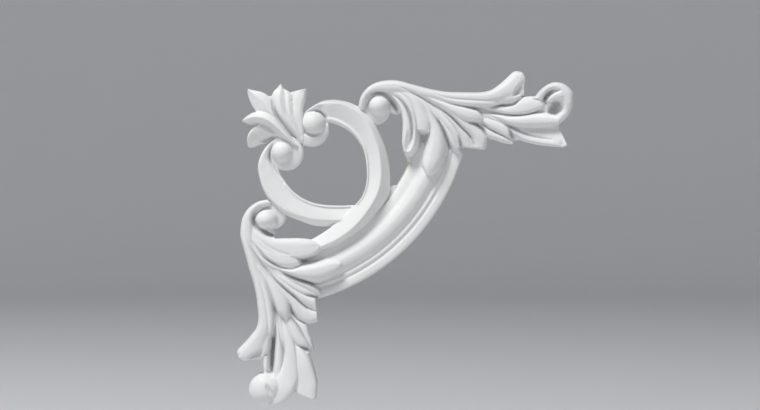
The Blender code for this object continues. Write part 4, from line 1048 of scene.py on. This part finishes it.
@dataclass
class CastingSkin:
    """Slight unevenness that a mould of hand carving leaves on a casting; the flat back stays flat."""

    tree: NodeTree = field(init=False)

    def __post_init__(self) -> None:
        """Builds the tree."""
        t = self.tree = NodeTree("casting_skin")
        depth, size, seed = (t.add_input(name, "Float") for name in ("Depth", "Size", "Seed"))
        material = t.add_input("Material", "Material")
        where = t.add("GeometryNodeInputPosition").outputs[0]
        scale = t.math("DIVIDE", 1.0, size)
        noise = t.add("ShaderNodeTexNoise", where, seed, scale, 2.0, 0.5, noise_dimensions="4D")
        swing = t.math("MULTIPLY", t.math("SUBTRACT", noise.outputs[0], 0.5), depth)
        height = t.add("ShaderNodeSeparateXYZ", where).outputs[1]
        front = t.add("ShaderNodeMapRange", height, SKIN_START, SKIN_FULL, 0.0, 1.0).outputs[0]
        shift = t.add("ShaderNodeVectorMath", t.add("GeometryNodeInputNormal").outputs[0], operation="SCALE")
        t.group.links.new(t.math("MULTIPLY", swing, front), shift.inputs["Scale"])
        moved = t.add("GeometryNodeSetPosition", t.start.outputs[0], None, None, shift.outputs[0])
        t.close(moved.outputs[0], material)

    def cover(self, piece: bpy.types.Object, material: bpy.types.Material, seed: float) -> None:
        """Covers a piece; seed makes its unevenness its own."""
        self.tree.bake(piece, {"Depth": SKIN_DEPTH, "Size": SKIN_SIZE, "Seed": seed, "Material": material})


@dataclass
class QuarterMoulding:
    """The curved moulding that ties the arms: a section swept along an arc.

    section holds radii and heights in mm. Both ends sink under the leaves by sink: this starts sink_from
    degrees off the middle, is full sink_over degrees on, and moves what lies above sink_low, the part above
    sink_high in full, both in metres over the back.
    """

    name: str = "quarter_moulding"
    window: Window = Window(30, 30, 134, 134)
    centre: Tuple[float, float] = (12.1, 13.2)
    span: float = 58.4
    inner_radius: float = 92.6
    outer_radius: float = 119.5
    section: Sequence[Tuple[float, float]] = (
        (92.6, 4.6), (93.4, 5.8), (95.5, 6.7), (98.0, 7.2), (99.2, 7.9), (101.5, 9.3), (103.8, 9.9),
        (106.0, 9.6), (108.5, 8.4), (110.6, 7.0), (112.0, 7.5), (113.8, 6.5), (114.8, 7.1),
        (116.2, 7.3), (118.4, 7.1), (119.5, 6.0))
    mm_per_degree: float = 1.9
    sink: float = 0.5
    sink_from: float = 20.0
    sink_over: float = 9.0
    sink_power: float = 1.5
    sink_low: float = 0.001
    sink_high: float = 0.003
    section_steps: int = 181
    arc_steps: int = 200

    def carve(self, r: Relief) -> None:
        """Adds the moulding's outline, for the backing.

        Args:
            r: the relief it is added to.
        """
        dist = np.hypot(r.x - self.centre[0], r.d - self.centre[1])
        angle = np.degrees(np.arctan2(r.d - self.centre[1], r.x - self.centre[0]))
        ends = (self.span / 2 - np.abs(angle - 45)) * self.mm_per_degree
        inside = np.minimum(np.minimum(dist - self.inner_radius, self.outer_radius - dist), ends)
        r.inside = np.maximum(r.inside, inside)

    def tree(self) -> NodeTree:
        """Builds the sweep: section from a height curve, arc, sinking ends, place in the square.

        Returns:
            The tree.
        """
        t = NodeTree(self.name)
        sizes = ("Inner radius", "Width", "Tallest", "Base", "Span", "Sink")
        inner, width, tallest, base, span, sink = (t.add_input(name, "Float") for name in sizes)
        centre = t.add_input("Centre", "Vector")
        material = t.add_input("Material", "Material")
        section = self.raise_section(t, width, tallest, base)
        swept = self.sweep(t, section, inner, width, span)
        lowered = self.sink_ends(t, swept, sink)
        placed = t.add("GeometryNodeTransform", lowered)
        placed.inputs["Rotation"].default_value = (math.radians(90), 0, 0)
        t.group.links.new(centre, placed.inputs["Translation"])
        t.close(placed.outputs[0], material)
        return t

    def raise_section(self, t: NodeTree, width: bpy.types.NodeSocket, tallest: bpy.types.NodeSocket,
                      base: bpy.types.NodeSocket) -> bpy.types.NodeSocket:
        """Draws the section as a closed curve.

        Args:
            t: the tree.
            width: the section's width.
            tallest: its greatest height.
            base: height of its underside.

        Returns:
            The curve.
        """
        line = t.add("GeometryNodeCurvePrimitiveLine", (0, 0, 0), (1, 0, 0))
        line = t.add("GeometryNodeResampleCurve", line.outputs[0], None, self.section_steps)
        share = t.add("GeometryNodeSplineParameter").outputs[0]
        curve = t.add("ShaderNodeFloatCurve", 1.0, share)
        self.draw_section(curve.mapping)
        rise = t.math("MULTIPLY", t.math("SUBTRACT", tallest, base), curve.outputs[0])
        across = t.math("MULTIPLY", t.math("SUBTRACT", share, 0.5), width)
        down = t.math("MULTIPLY", t.math("ADD", rise, base), -1.0)
        spot = t.add("ShaderNodeCombineXYZ", across, down, 0.0)
        section = t.add("GeometryNodeSetPosition", line.outputs[0], None, spot.outputs[0])
        return t.add("GeometryNodeSetSplineCyclic", section.outputs[0], None, True).outputs[0]

    def sweep(self, t: NodeTree, section: bpy.types.NodeSocket, inner: bpy.types.NodeSocket,
              width: bpy.types.NodeSocket, span: bpy.types.NodeSocket) -> bpy.types.NodeSocket:
        """Sweeps the section along the arc.

        Args:
            t: the tree.
            section: the section's curve.
            inner: the arc's inner radius.
            width: the section's width.
            span: the arc's angle.

        Returns:
            The swept body, lying flat.
        """
        middle = t.math("MULTIPLY_ADD", width, 0.5, inner)
        first = t.math("MULTIPLY_ADD", span, -0.5, math.radians(-45))
        arc = t.add("GeometryNodeCurveArc", mode="RADIUS")
        arc.inputs["Resolution"].default_value = self.arc_steps
        t.group.links.new(middle, arc.inputs["Radius"])
        t.group.links.new(first, arc.inputs["Start Angle"])
        t.group.links.new(span, arc.inputs["Sweep Angle"])
        upright = t.add("GeometryNodeSetCurveNormal", arc.outputs[0], mode="Z_UP")
        swept = t.add("GeometryNodeCurveToMesh", upright.outputs[0], section)
        swept.inputs["Fill Caps"].default_value = True
        return swept.outputs[0]

    def sink_ends(self, t: NodeTree, swept: bpy.types.NodeSocket,
                  sink: bpy.types.NodeSocket) -> bpy.types.NodeSocket:
        """Lowers the front of both ends.

        Args:
            t: the tree.
            swept: the swept body.
            sink: how far its ends go down.

        Returns:
            The body with its ends lowered.
        """
        place = t.add("ShaderNodeSeparateXYZ", t.add("GeometryNodeInputPosition").outputs[0])
        turn = t.math("ARCTAN2", place.outputs[1], place.outputs[0])
        off = t.math("ABSOLUTE", t.math("ADD", turn, math.radians(45)))
        start, end = math.radians(self.sink_from), math.radians(self.sink_from + self.sink_over)
        near_end = t.add("ShaderNodeMapRange", off, start, end, 0.0, 1.0).outputs[0]
        near_end = t.math("POWER", near_end, self.sink_power)
        limits = (self.sink_low, self.sink_high, 0.0, 1.0)
        front = t.add("ShaderNodeMapRange", place.outputs[2], *limits).outputs[0]
        drop = t.math("MULTIPLY", t.math("MULTIPLY", near_end, front), t.math("MULTIPLY", sink, -1.0))
        shift = t.add("ShaderNodeCombineXYZ", 0.0, 0.0, drop).outputs[0]
        return t.add("GeometryNodeSetPosition", swept, None, None, shift).outputs[0]

    def draw_section(self, mapping: bpy.types.CurveMapping) -> None:
        """Sets the height curve: walls up at both sides, the section between them.

        Args:
            mapping: the curve node's mapping.
        """
        tallest = max(h for _, h in self.section)
        width = self.outer_radius - self.inner_radius
        lip = 0.5 / (self.section_steps - 1)
        points = [(lip, 0.0)]
        for radius, h in self.section:
            points.append((min(max((radius - self.inner_radius) / width, 2 * lip), 1 - 2 * lip),
                           (h - BASE) / (tallest - BASE)))
        points.append((1 - lip, 0.0))
        curve = mapping.curves[0]
        curve.points[0].location, curve.points[1].location = (0.0, 0.0), (1.0, 0.0)
        for x, y in points:
            curve.points.new(x, y)
        for point in curve.points:
            edge = min(point.location[0], 1 - point.location[0]) < 3 * lip
            point.handle_type = "VECTOR" if edge else "AUTO_CLAMPED"
        mapping.update()

    def build(self, fit: Square190, material: bpy.types.Material) -> bpy.types.Object:
        """Makes the moulding as a plain mesh.

        Args:
            fit: how the drawing sits in the square.
            material: its finish.

        Returns:
            The object.
        """
        piece = bpy.data.objects.new(self.name, bpy.data.meshes.new(self.name))
        bpy.context.scene.collection.objects.link(piece)
        centre = fit.place(np.array([self.centre[0]]), np.array([self.centre[1]]), np.zeros(1))[0]
        self.tree().bake(piece, {
            "Inner radius": self.inner_radius * MM,
            "Width": (self.outer_radius - self.inner_radius) * MM,
            "Tallest": max(h for _, h in self.section) * MM,
            "Base": BASE * MM,
            "Span": math.radians(self.span),
            "Sink": self.sink * MM,
            "Centre": centre.tolist(),
            "Material": material,
        })
        tidy_normals(piece)
        return piece


def tidy_normals(piece: bpy.types.Object) -> None:
    """Turns a piece's faces outwards and shades it smooth with its sharp corners kept.

    Args:
        piece: the object.
    """
    body = bmesh.new()
    body.from_mesh(piece.data)
    bmesh.ops.remove_doubles(body, verts=body.verts, dist=MERGE)
    bmesh.ops.recalc_face_normals(body, faces=body.faces)
    body.to_mesh(piece.data)
    body.free()
    piece.data.shade_smooth()
    piece.data.set_sharp_from_angle(angle=math.radians(SHARP_ANGLE))


class Carving(Protocol):
    """A part of the ornament that is carved as a relief."""

    name: str
    window: Window

    def carve(self, r: Relief) -> None:
        """Adds the part to the relief r."""


@dataclass
class Carver:
    """Carves parts of the ornament out of a grid and closes them to bodies.

    A grid point that lies closer to the outline than least, a share of the step, is moved off it. Where the
    outline crosses the grid, the height takes edge_reach of the change towards the point outside.
    """

    fit: Square190
    step: float = GRID_STEP
    least: float = 0.1
    edge_reach: float = 0.3

    def body(self, part: Carving, material: bpy.types.Material) -> bpy.types.Object:
        """Carves one part.

        Args:
            part: the part, with its name, window and carve method.
            material: its finish.

        Returns:
            The part's object.
        """
        xs, ds = part.window.lines(self.step)
        x, d = np.meshgrid(xs, ds)
        relief = Relief.over(x.ravel(), d.ravel())
        part.carve(relief)
        inside = relief.inside.reshape(x.shape)
        least = self.least * self.step
        inside = np.where(np.abs(inside) < least, least * np.sign(inside + 1e-9), inside)
        height = blurred(relief.h.reshape(x.shape), round(SOFTEN / self.step))
        # How far each point lies below its softened surroundings; this sets the painted shade in the
        # hollows.
        hollow_shade = blurred(height, round(HOLLOW_SOFTEN / self.step ** 2)) - height
        sheet = Sheet.cut(inside)
        depth = np.clip(sheet.at(inside), 0, ROUND_EDGE)
        rounding = ROUND_EDGE - np.sqrt(ROUND_EDGE ** 2 - (ROUND_EDGE - depth) ** 2)
        top = np.maximum(sheet.at(height, self.edge_reach) - rounding, LOWEST)
        px, pd = sheet.at(x), sheet.at(d)
        front = self.fit.place(px, pd, top)
        back = self.fit.place(px, pd, np.full(px.size, BASE))
        # Share of painted shade for each front corner, full in the deepest hollows.
        painted_shade_mask = np.clip(sheet.at(hollow_shade, 0.0) / FULL_SHADE_DEPTH, 0, 1)
        piece = Body.from_sheet(part.name, sheet, front, back, painted_shade_mask).build()
        piece.data.materials.append(material)
        return piece


@dataclass
class Backing:
    """The flat back of the casting, a plate with the ornament's own outline.

    Sizes are in mm: the grid's step and how far it goes past the square, how far the plate stays inside the
    outline, how close to the outline a grid point may lie, and the plate's thickness.
    """

    parts: Sequence[Carving]
    name: str = "flat_back"
    step: float = 0.6
    before: float = 1.5
    past: float = 2.0
    inset: float = 0.3
    least: float = 0.05
    thickness: float = 2.0
    fit: Square190 = field(init=False)
    sheet: Sheet = field(init=False)
    grid: Tuple[np.ndarray, np.ndarray] = field(init=False)

    def __post_init__(self) -> None:
        """Measures the outline of all parts together and finds how it is fitted to the square."""
        line = np.arange(-self.before, SIDE + self.past, self.step)
        x, d = np.meshgrid(line, line)
        relief = Relief.over(x.ravel(), d.ravel())
        for part in self.parts:
            part.carve(relief)
        inside = relief.inside.reshape(x.shape)
        outline = Sheet.cut(inside)
        px, pd = outline.at(x), outline.at(d)
        self.fit = Square190(px.min(), px.max(), pd.min(), pd.max())
        clear = np.abs(inside - self.inset) >= self.least
        self.sheet = Sheet.cut(np.where(clear, inside, inside + self.least) - self.inset)
        self.grid = (x, d)

    def build(self, material: bpy.types.Material) -> bpy.types.Object:
        """Makes the plate.

        Args:
            material: its finish.

        Returns:
            The object.
        """
        px, pd = self.sheet.at(self.grid[0]), self.sheet.at(self.grid[1])
        front = self.fit.place(px, pd, np.full(px.size, self.thickness))
        back = self.fit.place(px, pd, np.zeros(px.size))
        piece = Body.from_sheet(self.name, self.sheet, front, back).build()
        piece.data.materials.append(material)
        return piece


@dataclass
class Shading:
    """A material in the making: its shader and the texture nodes that feed it."""

    name: str
    material: bpy.types.Material = field(init=False)

    def __post_init__(self) -> None:
        """Makes the bare material."""
        self.material = bpy.data.materials.new(self.name)
        self.material.use_nodes = True

    @property
    def tree(self) -> bpy.types.NodeTree:
        """The material's node tree."""
        return self.material.node_tree

    @property
    def shader(self) -> bpy.types.Node:
        """The material's Principled shader."""
        return self.tree.nodes["Principled BSDF"]

    def add(self, kind: str, values: Dict[str, object], **settings: object) -> bpy.types.Node:
        """Adds a node.

        Args:
            kind: type of the node.
            values: a value or a socket for each named input.
            settings: properties of the node.

        Returns:
            The node.
        """
        node = self.tree.nodes.new(kind)
        for key, value in settings.items():
            setattr(node, key, value)
        for name, value in values.items():
            self.feed(node.inputs[name], value)
        return node

    def feed(self, socket: bpy.types.NodeSocket, value: object) -> None:
        """Feeds an input.

        Args:
            socket: the input.
            value: the socket that is linked to it, or the value that it is set to.
        """
        if isinstance(value, bpy.types.NodeSocket):
            self.tree.links.new(value, socket)
        else:
            socket.default_value = value

    def noise(self, size: float, detail: float = 2.0, offset: float = 0.0) -> bpy.types.NodeSocket:
        """Noise over the object's own coordinates.

        Args:
            size: size of its patches in metres.
            detail: how many finer layers it has.
            offset: shifts the pattern, so that two of them differ.

        Returns:
            Its value, from 0 to 1.
        """
        place = self.add("ShaderNodeTexCoord", {}).outputs["Object"]
        moved = self.add("ShaderNodeVectorMath", {0: place, 1: (offset, offset, offset)}).outputs[0]
        values = {"Vector": moved, "Scale": 1 / size, "Detail": detail}
        return self.add("ShaderNodeTexNoise", values).outputs[0]

    def ramp(self, value: bpy.types.NodeSocket, source: Tuple[float, float],
             target: Tuple[float, float]) -> bpy.types.NodeSocket:
        """Maps one range to another.

        Args:
            value: what is mapped.
            source: its range.
            target: the range that it gets.

        Returns:
            The mapped value.
        """
        names = ("From Min", "From Max", "To Min", "To Max")
        limits = dict(zip(names, source + target))
        return self.add("ShaderNodeMapRange", {"Value": value, **limits}).outputs[0]

    def blend(self, share: bpy.types.NodeSocket, first: object, second: object) -> bpy.types.NodeSocket:
        """Mixes two colours.

        Args:
            share: how much of the second.
            first: colour or socket.
            second: colour or socket.

        Returns:
            The colour between them.
        """
        node = self.add("ShaderNodeMix", {0: share}, data_type="RGBA")
        self.feed(node.inputs[6], first)
        self.feed(node.inputs[7], second)
        return node.outputs[2]

    def bump(self, height: bpy.types.NodeSocket, distance: float,
             below: Optional[bpy.types.NodeSocket] = None) -> bpy.types.NodeSocket:
        """Bumps the surface.

        Args:
            height: pattern of the bumps, from 0 to 1.
            distance: their height in metres.
            below: normal of a bump that this one lies on.

        Returns:
            The bumped normal.
        """
        values: Dict[str, object] = {"Height": height, "Distance": distance, "Strength": 1.0}
        if below is not None:
            values["Normal"] = below
        return self.add("ShaderNodeBump", values).outputs[0]


@dataclass(frozen=True)
class PrimedFoam:
    """White primer over hard foam: matt, a little uneven, with painted shade darkening its colour in the
    hollows.
    """

    name: str
    base: Tuple[float, float, float]
    shade: Tuple[float, float, float]
    # Colour of the painted shade in the hollows.
    hollow_shade: Tuple[float, float, float]
    roughness: Tuple[float, float] = (0.5, 0.64)
    specular: float = 0.35

    def build(self) -> bpy.types.Material:
        """Makes the material.

        Returns:
            The material.
        """
        s = Shading(self.name)
        clouds = s.ramp(s.noise(CLOUD_SIZE, 3.0), (0.35, 0.68), (0.0, 1.0))
        coat = s.blend(clouds, (*self.base, 1), (*self.shade, 1))
        # Painted shade: the mask on the mesh, broken up by speckle, darkens the colour in the hollows.
        painted_shade_mask = s.add("ShaderNodeAttribute", {}, attribute_name="painted_shade_mask").outputs["Fac"]
        shade_speckle = s.ramp(s.noise(SHADE_SPECK_SIZE, 1.0, 3.0), (0.3, 0.7), (0.75, 1.25))
        depth = s.add("ShaderNodeMath", {0: painted_shade_mask, 1: shade_speckle}, operation="MULTIPLY").outputs[0]
        s.feed(s.shader.inputs["Base Color"], s.blend(depth, coat, (*self.hollow_shade, 1)))
        worn = s.noise(CLOUD_SIZE / 3, 2.0, 7.0)
        s.feed(s.shader.inputs["Roughness"], s.ramp(worn, (0.3, 0.7), self.roughness))
        s.shader.inputs["Specular IOR Level"].default_value = self.specular
        grain = s.bump(s.noise(GRAIN_SIZE, 3.0, 1.0), GRAIN_DEPTH)
        s.feed(s.shader.inputs["Normal"], s.bump(s.noise(TOOL_SIZE, 2.0, 5.0), TOOL_DEPTH, grain))
        return s.material


@dataclass(frozen=True)
class BareFoam:
    """The sawn back: unprimed foam, creamier, full of fine open pores."""

    name: str
    base: Tuple[float, float, float]
    pore: Tuple[float, float, float]
    roughness: float = 0.85
    specular: float = 0.2

    def build(self) -> bpy.types.Material:
        """Makes the material.

        Returns:
            The material.
        """
        s = Shading(self.name)
        place = s.add("ShaderNodeTexCoord", {}).outputs["Object"]
        cells = s.add("ShaderNodeTexVoronoi", {"Vector": place, "Scale": 1 / PORE_SIZE, "Randomness": 1.0})
        pores = s.ramp(cells.outputs["Distance"], (0.12, 0.3), (1.0, 0.0))
        some = s.ramp(s.noise(PORE_SIZE * 3, 1.0, 2.0), (0.5, 0.6), (0.0, 1.0))
        open_pores = s.add("ShaderNodeMath", {0: pores, 1: some}, operation="MULTIPLY").outputs[0]
        s.feed(s.shader.inputs["Base Color"], s.blend(open_pores, (*self.base, 1), (*self.pore, 1)))
        s.shader.inputs["Roughness"].default_value = self.roughness
        s.shader.inputs["Specular IOR Level"].default_value = self.specular
        sunk = s.add("ShaderNodeMath", {0: 1.0, 1: open_pores}, operation="SUBTRACT").outputs[0]
        pitted = s.bump(sunk, PORE_DEPTH)
        s.feed(s.shader.inputs["Normal"], s.bump(s.noise(GRAIN_SIZE * 4, 3.0), GRAIN_DEPTH * 2, pitted))
        return s.material


@dataclass(frozen=True)
class AreaLamp:
    """A soft square lamp: where it is, its size in metres, its power in watts and its colour."""

    name: str
    place: Tuple[float, float, float]
    size: float
    power: float
    colour: Tuple[float, float, float] = (1.0, 1.0, 1.0)

    def build(self, aim: Vector) -> None:
        """Adds the lamp.

        Args:
            aim: the point it is turned towards.
        """
        lamp = bpy.data.lights.new(self.name, "AREA")
        lamp.size, lamp.energy, lamp.color = self.size, self.power, self.colour
        holder = bpy.data.objects.new(self.name, lamp)
        holder.location = self.place
        holder.rotation_euler = (aim - Vector(self.place)).to_track_quat("-Z", "Y").to_euler()
        bpy.context.scene.collection.objects.link(holder)


@dataclass
class Studio:
    """Pale floor that turns up into a wall all round, soft light and the photograph's camera."""

    floor_height: float = -0.16
    flat_radius: float = 2.4
    cove_radius: float = 1.2
    wall_height: float = 3.0
    cove_steps: int = 12
    turn_steps: int = 96
    floor_colour: Tuple[float, float, float] = (0.78, 0.79, 0.81)
    floor_roughness: float = 0.9
    sky: Tuple[float, float, float] = (1.0, 1.0, 1.0)
    sky_strength: float = 0.02
    lamps: Sequence[AreaLamp] = (
        AreaLamp("key", (-0.8, -1.25, 2.34), 1.0, 69.0),
        AreaLamp("fill", (1.2, -1.6, 0.3), 1.4, 0.5, (0.97, 0.98, 1.0)),
    )

    def build_floor(self) -> None:
        """Makes the floor: a disc, a quarter-round cove and a wall, one surface of revolution."""
        angles = [i / self.cove_steps * math.pi / 2 for i in range(self.cove_steps + 1)]
        r, c = self.flat_radius, self.cove_radius
        profile = [(0.0, 0.0), (r / 2, 0.0)]
        profile += [(r + c * math.sin(a), c - c * math.cos(a)) for a in angles]
        profile.append((r + c, self.wall_height))
        body = bmesh.new()
        line = [body.verts.new((x, 0, self.floor_height + z)) for x, z in profile]
        edges = [body.edges.new(pair) for pair in zip(line, line[1:])]
        bmesh.ops.spin(body, geom=line + edges, axis=(0, 0, 1), cent=(0, 0, 0), angle=math.tau,
                       steps=self.turn_steps)
        bmesh.ops.remove_doubles(body, verts=body.verts, dist=1e-5)
        bmesh.ops.recalc_face_normals(body, faces=body.faces)
        mesh = bpy.data.meshes.new("floor")
        body.to_mesh(mesh)
        body.free()
        mesh.shade_smooth()
        paint = Shading("floor_paint")
        paint.shader.inputs["Base Color"].default_value = (*self.floor_colour, 1)
        paint.shader.inputs["Roughness"].default_value = self.floor_roughness
        mesh.materials.append(paint.material)
        floor = bpy.data.objects.new("floor", mesh)
        bpy.context.scene.collection.objects.link(floor)

    def build_light(self) -> None:
        """Adds the pale sky and the lamps."""
        world = bpy.data.worlds.new("sky")
        world.use_nodes = True
        background = world.node_tree.nodes["Background"]
        background.inputs["Color"].default_value = (*self.sky, 1)
        background.inputs["Strength"].default_value = self.sky_strength
        bpy.context.scene.world = world
        for lamp in self.lamps:
            lamp.build(Vector(AIM))

    def build_camera(self) -> None:
        """Adds the camera, level and square to the flat back as in the photograph."""
        lens = bpy.data.cameras.new("camera")
        lens.lens, lens.sensor_width = LENS, SENSOR
        distance = PHOTO_WIDTH / PIXELS_PER_MM * LENS / SENSOR
        camera = bpy.data.objects.new("camera", lens)
        camera.location = (CAMERA_X * MM, -(distance + MID_DEPTH) * MM, CAMERA_Z * MM)
        camera.rotation_euler = (math.radians(90), 0, 0)
        bpy.context.scene.collection.objects.link(camera)
        bpy.context.scene.camera = camera

    def build(self) -> None:
        """Builds floor, light and camera."""
        self.build_floor()
        self.build_light()
        self.build_camera()
        bpy.context.scene.view_settings.view_transform = "Standard"


def main() -> None:
    """Builds the ornament part by part, then the studio round it."""
    logging.basicConfig(level=logging.INFO, format="%(name)s: %(message)s")
    # The third colour of the primed foam is the painted shade in its hollows.
    primed = PrimedFoam("primed_foam", (0.87, 0.87, 0.86), (0.83, 0.83, 0.825), (0.66, 0.665, 0.68)).build()
    bare = BareFoam("bare_foam", (0.80, 0.77, 0.70), (0.62, 0.58, 0.50)).build()
    moulding = QuarterMoulding()
    carvings = (ScrollRing(), Palmette(), LeafArm(Side.RIGHT), LowerArm())
    backing = Backing((moulding, *carvings))
    carver = Carver(backing.fit, GRID_STEP)
    pieces = [backing.build(bare), moulding.build(backing.fit, primed)]
    pieces += [carver.body(part, primed) for part in carvings]
    skin = CastingSkin()
    for seed, piece in enumerate(pieces[1:]):
        skin.cover(piece, primed, seed)
    for piece in pieces:
        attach(piece, "root")
        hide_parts("corner_ornament")
        log.info("%s: %d faces", piece.name, len(piece.data.polygons))
    Studio().build()


if __name__ == "__main__":
    main()
